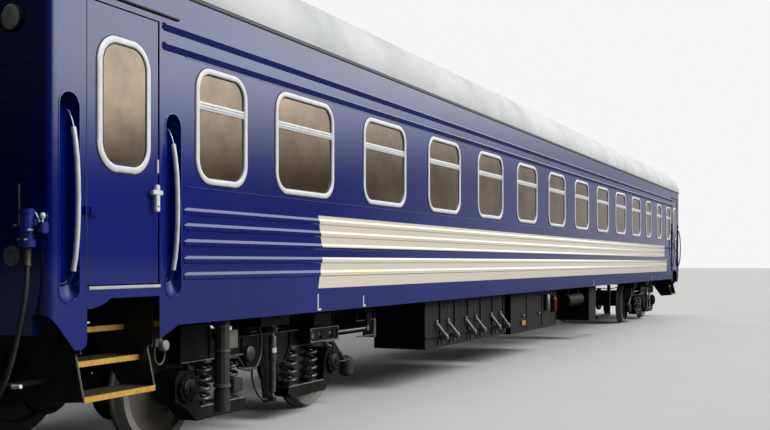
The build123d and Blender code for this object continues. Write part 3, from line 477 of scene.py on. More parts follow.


# Grey enamel of pipes and small gear, and a lighter grey: the real grey of clamps and brackets, and a painted
# highlight on the bright edges of beams, consoles and stair cheeks
dull_steel = coated("dull_grey_enamel", "#3c403e", "#2a2d2c", 0.06, 0.36, 0.004, 0.0003, 0.15, dust=0.25)
grey_steel_and_highlight = coated("light_grey_enamel_and_painted_highlight", "#6f7472", "#4b4f4d", 0.07, 0.32, 0.004, 0.0003, 0.25, dust=0.3)
for name, end in BOGIES:
    for title, made, finish in (
        ("axle_box_covers", box_covers(), bogie_black_and_shade),
        ("beam_edge_highlights", edge_highlight_bars(), grey_steel_and_highlight),
        ("brake_cylinder", brake_cylinder(), dull_steel),
        ("brake_gear", brake_gear(), dull_steel),
    ):
        finished(f"{title}_{name}", copied(made, bogie_places(end)), finish, f"bogie_{name}")

# Coil springs
# Round bars of spring steel wound hot, one coil inside another, between pressed seats.
# They are painted grey, and dust lies on top of each turn.
SPRING_SEAT, SPRING_TOP = RAIL + 0.300, RAIL + 0.685
AXLE_SPRINGS = (0.340, 0.750)
BOLSTER_SEAT, BOLSTER_TOP, BOLSTER_SPRING = RAIL + 0.860, RAIL + 0.930, 0.190
# A mid grey with a soft shine, darker in worn patches
spring_paint = coated("grey_spring_enamel", "#565a5a", "#2d3030", 0.05, 0.26, 0.004, 0.0003, 0.3, dust=0.25)


def coil_tree():
    """Winds an outer and an inner coil on each point given, from named sizes in metres."""
    tree = bpy.data.node_groups.new("wound_springs", "GeometryNodeTree")
    tree.interface.new_socket("Seats", in_out="INPUT", socket_type="NodeSocketGeometry")
    for socket, value in (("Height", 0.385), ("Turns", 4.8), ("Radius", 0.078), ("Wire", 0.018)):
        made = tree.interface.new_socket(socket, in_out="INPUT", socket_type="NodeSocketFloat")
        made.default_value = value
    tree.interface.new_socket("Finish", in_out="INPUT", socket_type="NodeSocketMaterial")
    tree.interface.new_socket("Springs", in_out="OUTPUT", socket_type="NodeSocketGeometry")
    given = add(tree, "NodeGroupInput").outputs
    coils = add(tree, "GeometryNodeJoinGeometry")
    for tightness, wire_share, reverse in ((1.0, 1.0, True), (0.54, 0.6, False)):
        radius = add(tree, "ShaderNodeMath", TIMES, {0: given["Radius"], 1: tightness})
        wire = add(tree, "ShaderNodeMath", TIMES, {0: given["Wire"], 1: wire_share})
        pitch = 0.4 + 0.6 * wire_share
        turns = add(tree, "ShaderNodeMath", {"operation": "DIVIDE"}, {0: given["Turns"], 1: pitch})
        path = {"Resolution": 26, "Rotations": turns, "Height": given["Height"], "Reverse": reverse}
        path.update({"Start Radius": radius, "End Radius": radius})
        line = add(tree, "GeometryNodeCurveSpiral", {}, path)
        section = add(tree, "GeometryNodeCurvePrimitiveCircle", {}, {"Resolution": 8, "Radius": wire})
        bent = {"Curve": line, "Profile Curve": section, "Fill Caps": True}
        rod = add(tree, "GeometryNodeCurveToMesh", {}, bent)
        tree.links.new(rod.outputs[0], coils.inputs[0])
    stood = add(tree, "GeometryNodeInstanceOnPoints", {}, {"Points": given["Seats"], "Instance": coils})
    solid = add(tree, "GeometryNodeRealizeInstances", {}, {0: stood})
    painted = add(tree, "GeometryNodeSetMaterial", {}, {"Geometry": solid, "Material": given["Finish"]})
    add(tree, "NodeGroupOutput", {}, {0: painted})
    return tree


def grown(name, tree, points, values):
    """Runs a node tree on a mesh of points, and keeps the result as a plain mesh."""
    seeds = bpy.data.meshes.new(name)
    seeds.from_pydata(points, [], [])
    holder = bpy.data.objects.new(name, seeds)
    scene.collection.objects.link(holder)
    modifier = holder.modifiers.new("grow", "NODES")
    modifier.node_group = tree
    for item in tree.interface.items_tree:
        if item.in_out == "INPUT" and item.name in values:
            modifier[item.identifier] = values[item.name]
    shown = holder.evaluated_get(bpy.context.evaluated_depsgraph_get())
    mesh = bpy.data.meshes.new_from_object(shown)
    holder.modifiers.remove(modifier)
    holder.data = mesh
    bpy.data.meshes.remove(seeds)
    mesh.name = name
    mesh.polygons.foreach_set("use_smooth", [True] * len(mesh.polygons))
    return holder


spring_tree = coil_tree()
for name, end in BOGIES:
    axle_seats, bolster_seats = [], []
    for side in (-1, 1):
        for half in (-1, 1):
            for inward in AXLE_SPRINGS:
                x = end * BOGIE_AT + half * (HALF_BASE - inward)
                axle_seats.append((x, side * BEAM_PLANE, SPRING_SEAT))
            bolster_seats.append((end * BOGIE_AT + half * BOLSTER_SPRING, side * BEAM_PLANE, BOLSTER_SEAT))
    tall, short = SPRING_TOP - SPRING_SEAT, BOLSTER_TOP - BOLSTER_SEAT
    for title, seats, sizes in (
        ("axle_springs", axle_seats, {"Height": tall}),
        ("bolster_springs", bolster_seats, {"Height": short, "Turns": 2.0, "Radius": 0.070}),
    ):
        coil = grown(f"{title}_{name}", spring_tree, seats, {**sizes, "Finish": spring_paint})
        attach(coil, f"bogie_{name}")
        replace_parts(coil, f"bogie_springs_{name}")
    shape = bmesh.new()
    for x, y, z in axle_seats:
        for low, high, radius in ((-0.004, 0.022, 0.100), (tall - 0.020, tall, 0.098)):
            dish = {"radius1": radius, "radius2": radius * 0.93, "depth": high - low, "segments": 28}
            place = Matrix.Translation((x, y, z + (low + high) / 2))
            bmesh.ops.create_cone(shape, cap_ends=True, matrix=place, **dish)
    finished(f"spring_seats_{name}", shape, bogie_black_and_shade, f"bogie_{name}")

# Dampers
# Oil dampers: an upright one beside the bolster, and a long one against yaw in a welded console.
# Each is a steel cylinder with a sleeve and a ground rod, bolted on by the eyes at its ends.

# Greenish grey enamel, bright ground steel, and the soft white of all small white parts
damper_paint = coated("grey_damper_enamel", "#4d5754", "#3a4240", 0.05, 0.35, 0.004, 0.0003, 0.1, dust=0.25)
bright_rod = coated("ground_steel", "#b9bab8", "#9a9b99", 0.03, 0.25, 0.002, 0.0001, 0.9)
white_paint = coated("satin_white_enamel", "#f0f0f2", "#dedfe2", 0.08, 0.35, 0.01, 0.0002, dust=0.1)
DAMPER_Y = -BEAM_PLANE - 0.145
DAMPER_COLUMN = [  # height above the rail, and radius
    (0.298, 0.0), (0.298, 0.024), (0.306, 0.032), (0.606, 0.032), (0.610, 0.037), (0.826, 0.037),
    (0.836, 0.031), (0.836, 0.0),
]
DAMPER_EYES = (0.245, 0.892)
YAW_Y, YAW_UP = -1.188, RAIL + 0.793
YAW_BODY = [(0.625, 0.0), (0.625, 0.034), (0.640, 0.040), (1.175, 0.040), (1.190, 0.034), (1.190, 0.0)]
CONSOLE = (0.590, 1.200)  # along the bogie
CONSOLE_FRONT, (CONSOLE_LOW, CONSOLE_HIGH) = YAW_Y - 0.045, above(0.718, 0.868)
CONSOLE_BOSS = [(-0.012, 0.0), (-0.012, 0.030), (0.006, 0.038), (0.030, 0.038), (0.030, 0.0)]
BOLT = [(-0.020, 0.0), (-0.020, 0.015), (-0.004, 0.017), (0.006, 0.017), (0.006, 0.0)]
LABEL_STEPS, LABEL_REACH = 8, 60  # the label wraps this many degrees to each side of the front


def damper_bodies():
    """The upright cylinder with its two eyes, and the cylinder of the yaw damper."""
    shape = bmesh.new()
    turned(shape, DAMPER_COLUMN, (0, DAMPER_Y, RAIL), 24, "Z")
    for z in DAMPER_EYES:
        turned(shape, plain(-0.028, 0.055, 0.030), (0, DAMPER_Y, RAIL + z), 20)
    turned(shape, YAW_BODY, (0, YAW_Y + 0.016, YAW_UP), 24, "X")
    return shape


def yaw_console():
    """The welded bracket of the yaw damper: four flanges, and a face plate with two holes."""
    shape = bmesh.new()
    depth = (CONSOLE_FRONT, BEAM_FACE + 0.002)
    for low, high in ((CONSOLE_LOW, CONSOLE_LOW + 0.016), (CONSOLE_HIGH - 0.016, CONSOLE_HIGH)):
        slab(shape, CONSOLE, depth, (low, high), 0.003)
    for x in (CONSOLE[0], CONSOLE[1] - 0.020):
        slab(shape, (x, x + 0.020), depth, (CONSOLE_LOW, CONSOLE_HIGH), 0.003)
    plate = (CONSOLE_FRONT + 0.010, CONSOLE_FRONT + 0.018)
    left, right = CONSOLE[0] + 0.010, CONSOLE[1] - 0.010
    for rows in ((YAW_UP + 0.030, CONSOLE_HIGH - 0.010), (CONSOLE_LOW + 0.010, YAW_UP - 0.040)):
        slab(shape, (left, right), plate, rows, 0.002)
    for columns in ((left, 0.800), (0.860, 1.010), (1.100, right)):
        slab(shape, columns, plate, (YAW_UP - 0.045, YAW_UP + 0.035), 0.002)
    return shape


def console_edge_highlights():
    """Light bars along the front edges of the console's flanges, a painted highlight, and the round boss at
    its inner end.
    """
    shape = bmesh.new()
    front = CONSOLE_FRONT - 0.001
    for z in (CONSOLE_LOW + 0.008, CONSOLE_HIGH - 0.008):
        bar(shape, [(x, front, z) for x in CONSOLE], 0.0065, 8)
    bar(shape, [(CONSOLE[1] - 0.01, front, z) for z in (CONSOLE_LOW, CONSOLE_HIGH)], 0.0065, 8)
    turned(shape, CONSOLE_BOSS, (CONSOLE[0] + 0.045, CONSOLE_FRONT, YAW_UP), 20)
    return shape


def bright_fixings():
    """Ground rods of both dampers, the yaw damper's outer eye, and the bolts of the console and eyes."""
    shape = bmesh.new()
    for low, high in ((0.262, 0.302), (0.828, 0.930)):
        turned(shape, plain(low, high, 0.017), (0, DAMPER_Y, RAIL), 16, "Z")
    turned(shape, plain(1.185, 1.940, 0.019), (0, YAW_Y, YAW_UP), 16, "X")
    turned(shape, plain(-0.028, 0.028, 0.031), (1.955, YAW_Y, YAW_UP), 20)
    for x in (CONSOLE[0] + 0.020, CONSOLE[1] - 0.020):
        for z in (CONSOLE_LOW + 0.018, CONSOLE_HIGH - 0.018):
            turned(shape, BOLT, (x, CONSOLE_FRONT + 0.010, z), 6)
    for z in DAMPER_EYES:
        turned(shape, BOLT, (0, DAMPER_Y - 0.026, RAIL + z), 6)
    return shape


def damper_label():
    """A blank white label that wraps the front third of the upright cylinder."""
    shape = bmesh.new()
    loops = []
    for step in range(LABEL_STEPS + 1):
        angle = math.radians(270 + LABEL_REACH * (2 * step / LABEL_STEPS - 1))
        run = []
        for radius, z in ((0.0368, 0.676), (0.0378, 0.676), (0.0378, 0.722), (0.0368, 0.722)):
            x, y = radius * math.cos(angle), DAMPER_Y + radius * math.sin(angle)
            run.append(shape.verts.new((x, y, RAIL + z)))
        loops.append(run)
    skinned(shape, loops)
    return shape


for name, end in BOGIES:
    for title, made, finish, slot, is_damper in (
        ("damper_cylinders", damper_bodies(), damper_paint, "grey_boxes", True),
        ("yaw_consoles", yaw_console(), bogie_black_and_shade, "black_paint", True),
        ("console_edge_highlights", console_edge_highlights(), grey_steel_and_highlight, "black_paint", False),
        ("damper_rods", bright_fixings(), bright_rod, "wheel_steel", True),
        ("damper_labels", damper_label(), white_paint, "white_trim", False),
    ):
        piece = finished(f"{title}_{name}", copied(made, bogie_places(end)), finish, f"bogie_{name}")
        if is_damper:
            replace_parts(piece, f"bogie_dampers_{name}")

# Underframe, boxes and tanks under the floor
# A welded steel underframe carries pressed boxes for batteries and switchgear, and the air tanks.
# All of it is black or dark grey enamel under a film of dust, made darker still by painted shade, as it lies
# under the coach.

# A black that hides the frame and a near-black dusty grey for the boxes, both partly paint and partly painted
# shade from under the coach, and a greener grey of pipes
black_paint_and_shade = coated(
    "black_underframe_enamel_and_painted_shade", "#060708", "#0c0d0d", 0.4, 0.65, 0.01, 0.0005, dust=0.2, shine=0.2
)
box_grey_and_shade = coated("dusty_dark_grey_enamel_and_painted_shade", "#0d0f0e", "#161816", 0.25, 0.60, 0.008, 0.0004, dust=0.3, shine=0.2)
pipe_paint = coated("grey_pipe_enamel", "#2f342f", "#252a23", 0.12, 0.42, 0.006, 0.0005, dust=0.25)
painted(black_paint_and_shade, "underframe")
painted(box_grey_and_shade, "air_tanks", "battery_boxes", "equipment_boxes")
painted(pipe_paint, "soil_pipes")
# Places along the coach are distances behind its near end
BATTERY_FROM, BATTERY_TO, BATTERY_DOORS = 6.41, 9.45, 6
VENT_ROWS = (0.935, 0.960, 0.985)
LATCHES, LATCH_LEAN = (6.80, 7.20, 7.85, 8.25, 8.90, 9.32), 0.135
LATCH_TOP, LATCH_LOW = (-1.398, 0.750), (-1.475, 0.583)  # y and height above the rail
LATCH_FOOT = [(-0.020, 0.0), (-0.020, 0.030), (-0.008, 0.038), (0.012, 0.040), (0.067, 0.040), (0.067, 0.0)]
LOCKER_HANDLES, BOTTLE_AT, VALVE_AT = (10.55, 11.43, 12.30), 11.86, 12.32
# Sections by height above the rail, and radius
BOTTLE = [(0.690, 0.0), (0.690, 0.030), (0.720, 0.048), (0.950, 0.048), (0.980, 0.030), (0.980, 0.0)]
VALVE = [(0.66, 0.0), (0.66, 0.035), (0.69, 0.056), (0.88, 0.056), (0.91, 0.03), (0.95, 0.028), (0.95, 0.0)]
# Low and high edge of each clamp ring, and its radius
PIPE_CLAMPS = [(0.490, 0.516, 0.074), (0.785, 0.803, 0.070), (0.987, 1.007, 0.074)]
PIPE_OUTLET = [(0.290, 0.0665), (0.290, 0.0685), (0.470, 0.0685), (0.470, 0.0665)]
PIPE_AT, PIPE_RADIUS = (-END + 2.126, -SIDE + 0.150, RAIL), 0.066


def fitted(name, shape, places, material, sharp=35):
    """Copies a shape to its places on the coach's body, as one finished piece."""
    return finished(name, copied(shape, places), material, "coach_body", sharp)


def battery_latches():
    """Six thick slanted bars that hold the doors of the battery box shut, each on a round foot."""
    shape = bmesh.new()
    for place in LATCHES:
        top = (from_end(place), LATCH_TOP[0], RAIL + LATCH_TOP[1])
        foot = (from_end(place + LATCH_LEAN), LATCH_LOW[0], RAIL + LATCH_LOW[1])
        bar(shape, [top, foot], 0.022, 10)
        turned(shape, LATCH_FOOT, foot, 14)
        slab(shape, (top[0] - 0.035, top[0] + 0.035), (-1.406, -1.378), above(0.730, 0.800), 0.006)
        for shift in (-0.055, 0.085):
            clamp = (foot[0] + shift - 0.010, foot[0] + shift + 0.010)
            slab(shape, clamp, (-1.400, -1.376), above(0.470, 0.570), 0.004)
    return shape


def battery_seams():
    """Narrow gaps between the doors of the battery box, and dark vent slots."""
    shape = bmesh.new()
    width = (BATTERY_TO - BATTERY_FROM) / BATTERY_DOORS
    for i in range(BATTERY_DOORS):
        x = from_end(BATTERY_FROM + width * (i + 0.5) + 0.020)
        slab(shape, (x - 0.004, x + 0.004), (-1.383, -1.376), above(0.615, 1.030), 0.0)
        for z in VENT_ROWS:
            slab(shape, (x - 0.140, x - 0.030), (-1.384, -1.376), above(z, z + 0.010), 0.0)
    return shape


def locker_fittings():
    """Fittings on the long locker: a grey bottle, and handles on its doors."""
    shape = bmesh.new()
    turned(shape, BOTTLE, (from_end(BOTTLE_AT), -1.385, RAIL), 18, "Z")
    for x in LOCKER_HANDLES:
        slab(shape, along(x, x + 0.100), (-1.368, -1.345), above(0.660, 0.690), 0.005)
    return shape


# Steel of the latches, rubbed bare by gloves
latch_steel = coated("worn_latch_steel", "#9a9f9d", "#6f7371", 0.04, 0.35, 0.003, 0.0003, 0.5, dust=0.25)
fitted("battery_latches", battery_latches(), BOTH_SIDES, latch_steel)
fitted("battery_seams", battery_seams(), BOTH_SIDES, black_paint_and_shade)
fitted("locker_fittings", locker_fittings(), BOTH_SIDES, latch_steel)
# Red enamel of the brake's stop valve, and a blank yellow plate on the locker's first door
valve_red = coated("red_valve_enamel", "#7c1d1a", "#5a1715", 0.05, 0.4, 0.004, 0.0003, dust=0.3)
plate_yellow = coated("yellow_plate_enamel", "#b79a2a", "#9a8225", 0.04, 0.45, 0.004, 0.0002, dust=0.2)
shape = bmesh.new()
turned(shape, VALVE, (from_end(VALVE_AT), -1.375, RAIL), 20, "Z")
fitted("stop_valves", shape, [HERE], valve_red)
plate = slabs(((10.490, 10.700), (-1.366, -1.336), (0.520, 0.596), 0.003))
fitted("yellow_plate", plate, [HERE], plate_yellow)
# Steel clamp rings round each soil pipe, its plain lower end, and a pale duct plate beside it
shape = bmesh.new()
for low, high, radius in PIPE_CLAMPS:
    clamp = [(low, PIPE_RADIUS), (low, radius), (high, radius), (high, PIPE_RADIUS)]
    turned(shape, clamp, PIPE_AT, 28, "Z")
fitted("pipe_clamps", shape, TURNED_PAIR, grey_steel_and_highlight)
shape = bmesh.new()
turned(shape, PIPE_OUTLET, PIPE_AT, 28, "Z")
fitted("pipe_outlets", shape, TURNED_PAIR, dull_steel)
# Pale dusty enamel, the one light patch beside the pipe
duct_paint = coated("pale_duct_enamel", "#6e6a60", "#5a564d", 0.06, 0.45, 0.004, 0.0003, dust=0.3)
plate = slabs(((2.205, 2.350), (-1.372, -1.352), (0.800, 0.955), 0.004))
fitted("duct_plates", plate, TURNED_PAIR, duct_paint)
# The bracket under the sill that takes the outer eye of each yaw damper
bracket = slabs(
    ((5.372, 5.430), (-1.205, -1.060), (0.676, 0.888), 0.004),
    ((4.930, 5.375), (-1.207, -1.196), (0.702, 0.714), 0.002),
    ((4.930, 5.375), (-1.207, -1.196), (0.876, 0.888), 0.002),
)
fitted("yaw_brackets", bracket, ALL_CORNERS, grey_steel_and_highlight)
webs = slabs(
    ((5.385, 5.425), (-1.200, -1.060), (0.880, 1.110), 0.003),
    ((4.925, 4.950), (-1.205, -1.060), (0.880, 1.110), 0.003),
)
fitted("yaw_bracket_webs", webs, ALL_CORNERS, black_paint_and_shade)

# Body sides
# Pressed steel sheet with rolled ribs, welded over the frame and sprayed with blue gloss enamel.
# Two cream stripes run over the lower ribs, and they begin with edges that lean to one point.
STRIPE_MIDDLE = RAIL + 1.620
STRIPE_START, STRIPE_LEAN = 3.60, 0.25
STRIPES = [  # low edge, high edge, end
    (RAIL + 1.670, RAIL + 1.970, 23.02),
    (RAIL + 1.277, RAIL + 1.573, 23.35),
]
BLUE, DEEP_BLUE, CREAM = "#031a7a", "#021162", "#efe7d3"
# Deep blue with a hard gloss, which mirrors the sky in long bands
body_enamel = coated("blue_gloss_enamel", BLUE, DEEP_BLUE, 1.2, 0.08, 0.05, 0.0001)
body_enamel.node_tree.nodes["Principled BSDF"].inputs["IOR"].default_value = 1.95
striped = body_enamel.copy()
striped.name = "striped_gloss_enamel"
tree = striped.node_tree
place = add(tree, "ShaderNodeTexCoord").outputs["Object"]
spot = add(tree, "ShaderNodeSeparateXYZ", {}, {0: place}).outputs
# The distance from the end where the stripes begin is at the left of each side
hand = add(tree, "ShaderNodeMath", {"operation": "SIGN"}, {0: spot["Y"]})
lengthways = add(tree, "ShaderNodeMath", TIMES, {0: hand, 1: spot["X"]})
distance = add(tree, "ShaderNodeMath", MINUS, {0: END, 1: lengthways})
drop = add(tree, "ShaderNodeMath", MINUS, {0: spot["Z"], 1: STRIPE_MIDDLE})
lean = add(tree, "ShaderNodeMath", {"operation": "ABSOLUTE"}, {0: drop})
start = add(tree, "ShaderNodeMath", {"operation": "MULTIPLY_ADD"}, {0: lean, 1: STRIPE_LEAN, 2: distance})
begun = add(tree, "ShaderNodeMath", {"operation": "GREATER_THAN"}, {0: start, 1: STRIPE_START})
for low, high, finish in STRIPES:
    height = {0: spot["Z"], 1: (low + high) / 2, 2: (high - low) / 2}
    band = add(tree, "ShaderNodeMath", {"operation": "COMPARE"}, height)
    ended = add(tree, "ShaderNodeMath", UNDER, {0: distance, 1: finish})
    both = add(tree, "ShaderNodeMath", TIMES, {0: band, 1: begun})
    overlaid(striped, add(tree, "ShaderNodeMath", TIMES, {0: both, 1: ended}), CREAM)
painted(striped, "side_walls")
painted(body_enamel, "door_surrounds", "end_walls", "gangway_door_near", "gangway_door_far")
# The corner panels are the same blue, with near-black painted shade low down on every face that is not turned
# outwards
PAINTED_SHADE_COLOUR, PAINTED_SHADE_TOP = "#050608", RAIL + 1.215
corner_shade_enamel = body_enamel.copy()
corner_shade_enamel.name = "gloss_enamel_with_painted_shade"
tree = corner_shade_enamel.node_tree
place = add(tree, "ShaderNodeTexCoord").outputs["Object"]
spot = add(tree, "ShaderNodeSeparateXYZ", {}, {0: place}).outputs
normal = add(tree, "ShaderNodeNewGeometry").outputs["Normal"]
facing = add(tree, "ShaderNodeSeparateXYZ", {}, {0: normal}).outputs
outward = add(tree, "ShaderNodeMath", TIMES, {0: facing["Y"], 1: spot["Y"]})
turned_away = add(tree, "ShaderNodeMath", UNDER, {0: outward, 1: 0.3})
low_down = add(tree, "ShaderNodeMath", UNDER, {0: spot["Z"], 1: PAINTED_SHADE_TOP})
shaded = add(tree, "ShaderNodeMath", TIMES, {0: turned_away, 1: low_down})
# Painted shade: near-black over the low faces that turn away from the side
overlaid(corner_shade_enamel, shaded, PAINTED_SHADE_COLOUR)
painted(corner_shade_enamel, "corner_panels")


def moulding(shape, section, x, tip=0.0):
    """Adds a straight moulding along X from the (y, z) points of its closed section, with tapered tips."""
    middle = (min(z for y, z in section) + max(z for y, z in section)) / 2
    foot = max(y for y, z in section)
    ends = [(x[0], 1.0), (x[1], 1.0)]
    if tip:
        ends = [(x[0] - tip, 0.1), *ends, (x[1] + tip, 0.1)]
    loops = []
    for at, share in ends:
        points = [(foot + (y - foot) * share, middle + (z - middle) * share) for y, z in section]
        loops.append([shape.verts.new((at, y, z)) for y, z in points])
    skinned(shape, loops)


CORNER_STEPS = 10


def rounded(centre, size, radius):
    """Points of a rectangle with round corners, in the plane of a side."""
    points = []
    for across, up, start in ((1, 1, 0), (-1, 1, 90), (-1, -1, 180), (1, -1, 270)):
        corner = (centre[0] + across * (size[0] / 2 - radius), centre[1] + up * (size[1] / 2 - radius))
        for step in range(CORNER_STEPS + 1):
            angle = math.radians(start + 90 * step / CORNER_STEPS)
            points.append((corner[0] + radius * math.cos(angle), corner[1] + radius * math.sin(angle)))
    return points


def ring(shape, centre, size, radius, section, face=-SIDE):
    """Adds a frame round an opening, from the (inset, depth behind the face) points of its section."""
    loops = []
    for inset, depth in section:
        outline = rounded(centre, (size[0] - 2 * inset, size[1] - 2 * inset), radius - inset)
        loops.append([shape.verts.new((x, face + depth, z)) for x, z in outline])
    skinned(shape, loops, closed=True)


# Heights of the ribs above the rail, and their sections by depth and height
LOW_RIBS, HIGH_RIBS = (1.414, 1.539, 1.668, 1.790, 1.907), (3.125, 3.268)
LOW_RIB = [(0.002, 0.040), (-0.0095, 0.012), (-0.0095, -0.016), (0.002, -0.026)]
HIGH_RIB = [(0.002, 0.030), (-0.021, 0.017), (-0.024, 0.011), (-0.0112, -0.0145), (0.002, -0.038)]
BEAD = [(0.002, 0.007), (-0.004, 0.004), (-0.004, -0.004), (0.002, -0.007)]
BEADS = (2.098, 3.086)


def rolled(shape, section, heights, inset, tip=0.0):
    """Adds one moulding at each height, from an inset behind one end of the coach to the other."""
    for height in heights:
        places = [(-SIDE + y, RAIL + height + z) for y, z in section]
        moulding(shape, places, (from_end(inset), -from_end(inset)), tip)


shape = bmesh.new()
rolled(shape, LOW_RIB, LOW_RIBS, 1.440, 0.055)
rolled(shape, HIGH_RIB, HIGH_RIBS, 1.150, 0.015)
fitted("rolled_ribs", shape, BOTH_SIDES, striped, 20)
# A narrow half-round bead under the windows and another over them
shape = bmesh.new()
rolled(shape, BEAD, BEADS, 1.420)
fitted("window_beads", shape, BOTH_SIDES, body_enamel, 20)
# A raised rim round each handrail pocket, and the dished floor that closes it below
POCKETS = (0.170, 1.267)
POCKET_LOW, POCKET_HIGH, POCKET_HALF, POCKET_DEPTH = RAIL + 1.262, RAIL + 2.632, 0.090, 0.090
# Inset from the rim's outline, and depth behind the side
POCKET_RIM = [(0.0, 0.002), (0.002, -0.004), (0.009, -0.005), (0.011, 0.004), (0.013, 0.030), (0.009, 0.030)]
RIM_WIDTH, RIM_OVER, RIM_RADIUS = 0.202, 0.022, 0.1005
CUP_ROWS, CUP_COLUMNS, CUP_RISE = 7, 16, 0.130
rims, cups = bmesh.new(), bmesh.new()
for place in POCKETS:
    centre = (from_end(place), (POCKET_LOW + POCKET_HIGH) / 2)
    ring(rims, centre, (RIM_WIDTH, POCKET_HIGH - POCKET_LOW + RIM_OVER), RIM_RADIUS, POCKET_RIM)
    reach = POCKET_HALF - 0.001
    rows = []
    for step in range(CUP_ROWS + 1):
        share = step / CUP_ROWS
        row = []
        for i in range(CUP_COLUMNS + 1):
            angle = math.radians(180 + 180 * i / CUP_COLUMNS)
            x, z = centre[0] + reach * math.cos(angle), POCKET_LOW + POCKET_HALF + reach * math.sin(angle)
            lift = CUP_RISE * share**2 * (1 - 0.25 * abs(math.cos(angle)))
            row.append(cups.verts.new((x, -SIDE + 0.003 + POCKET_DEPTH * share, z + lift)))
        rows.append(row)
    for a, b in zip(rows, rows[1:]):
        for i in range(CUP_COLUMNS):
            cups.faces.new((a[i], a[i + 1], b[i + 1], b[i]))
fitted("pocket_rims", rims, ALL_CORNERS, body_enamel, 50)
# A lighter and less glossy blue than the body, inside the pocket
cup_enamel = coated("blue_satin_enamel", "#1b2a86", "#142071", 0.3, 0.38)
fitted("pocket_cups", cups, ALL_CORNERS, cup_enamel, 50)
# White corner marks on the skirt show where the coach may be lifted
LIFTING_MARKS = [  # distance behind the end, height of the top, and length of the foot, if it has one
    (3.500, 1.225, 0.070),
    (4.478, 1.180, 0.060),
    (14.760, 1.165, 0.030),
    (21.180, 1.165, 0),
    (22.210, 1.165, 0),
]
MARK_LOW, MARK_STROKE = 1.066, 0.020
# Flat white paint without gloss
mark_white = coated("white_mark_enamel", "#e6e6e4", "#cfcfcc", 0.03, 0.4)
shape = bmesh.new()
mark_depth = (-SIDE - 0.0012, -SIDE + 0.002)
for x, high, foot in LIFTING_MARKS:
    slab(shape, along(x, x + MARK_STROKE), mark_depth, above(MARK_LOW, high), 0)
    if foot:
        slab(shape, along(x + MARK_STROKE, x + foot), mark_depth, above(MARK_LOW, MARK_LOW + MARK_STROKE), 0)
fitted("lifting_marks", shape, TURNED_PAIR, mark_white, 20)

# Windows
# Each is a sealed pane of tinted glass in a pressed frame with white enamel and rubber seals.
# A triple moulding crosses it below the part that tilts open.
WIDE, NARROW = 1.09, 0.72
WINDOWS = [(1.910, NARROW)] + [(3.275 + 1.752 * i, WIDE) for i in range(10)]
WINDOWS += [(20.620, NARROW), (22.140, NARROW), (23.590, NARROW)]
WINDOW_LOW, WINDOW_HIGH, WINDOW_RADIUS = RAIL + 2.140, RAIL + 3.050, 0.190
TRANSOM = RAIL + 2.748
# Safety glass under a bronze metal film: it mirrors what stands before it, and lets a little light through
tinted = coated("bronze_film_glass", "#c8b299", "#a3927d", 0.35, 0.02)
film = tinted.node_tree.nodes["Principled BSDF"]
film.inputs["Metallic"].default_value = 0.48
film.inputs["Transmission Weight"].default_value = 1.0
# Dull black rubber that draws a thin dark line round each frame
seal_rubber = coated("window_seal_rubber", "#15171a", "#202327", 0.06, 0.6, 0.003, 0.0002)
# Sections by inset from the frame's outline, and depth behind the side
FRAME_WIDTH = 0.046
FRAME_SECTION = [
    (-0.004, 0.004), (-0.004, -0.005), (0.003, -0.011), (0.034, -0.012), (0.042, -0.008),
    (FRAME_WIDTH, 0.004), (FRAME_WIDTH, 0.016), (0.010, 0.029),
]
SEAL_SECTION = [(-0.011, 0.003), (-0.011, -0.003), (-0.003, -0.005), (-0.003, 0.003)]
INNER_SEAL_SECTION = [(0.045, 0.001), (0.052, 0.003), (0.055, 0.008), (0.045, 0.012)]
# Depth behind the side, and height over the transom's middle
TRANSOM_HALF = [(0.029, 0.032), (-0.001, 0.032), (-0.005, 0.027), (-0.005, 0.015)]
TRANSOM_HALF += [(0.006, 0.012), (-0.005, 0.008)]
TRANSOM_SECTION = [(-SIDE + y, TRANSOM - z) for y, z in TRANSOM_HALF]
TRANSOM_SECTION += [(-SIDE + y, TRANSOM + z) for y, z in reversed(TRANSOM_HALF)]


def pane(shape, centre, size, radius, outer, inner):
    """Adds a pane with round corners between two depths y."""
    outline = rounded(centre, size, radius)
    skinned(shape, [[shape.verts.new((x, y, z)) for x, z in outline] for y in (inner, outer)])


frames, seals, panes = bmesh.new(), bmesh.new(), bmesh.new()
for place, width in WINDOWS:
    centre = (from_end(place), (WINDOW_LOW + WINDOW_HIGH) / 2)
    size = (width, WINDOW_HIGH - WINDOW_LOW)
    ring(frames, centre, size, WINDOW_RADIUS, FRAME_SECTION)
    moulding(frames, TRANSOM_SECTION, (centre[0] - width / 2 + 0.040, centre[0] + width / 2 - 0.040))
    ring(seals, centre, size, WINDOW_RADIUS, SEAL_SECTION)
    ring(seals, centre, size, WINDOW_RADIUS, INNER_SEAL_SECTION)
    clear = [length - 2 * FRAME_WIDTH for length in size]
    pane(panes, centre, clear, WINDOW_RADIUS - FRAME_WIDTH, -SIDE + 0.006, -SIDE + 0.014)
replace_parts(fitted("white_window_frames", frames, BOTH_SIDES, white_paint, 50), "window_frames")
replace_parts(fitted("film_panes", panes, BOTH_SIDES, tinted, 50), "window_panes")
fitted("window_seals", seals, BOTH_SIDES, seal_rubber, 50)

# Side doors
# A steel leaf with a tall window in a white ring, and a cross-shaped handle with a dark keyhole.
# It hangs on the jamb nearer the end and swings inwards.
DOOR_FROM, DOOR_TO = 0.338, 1.105
DOOR_FACE = -SIDE + 0.008
DOOR_LIGHT = (from_end((DOOR_FROM + DOOR_TO) / 2), RAIL + 2.6175)
DOOR_LIGHT_SIZE = (0.560, 0.935)
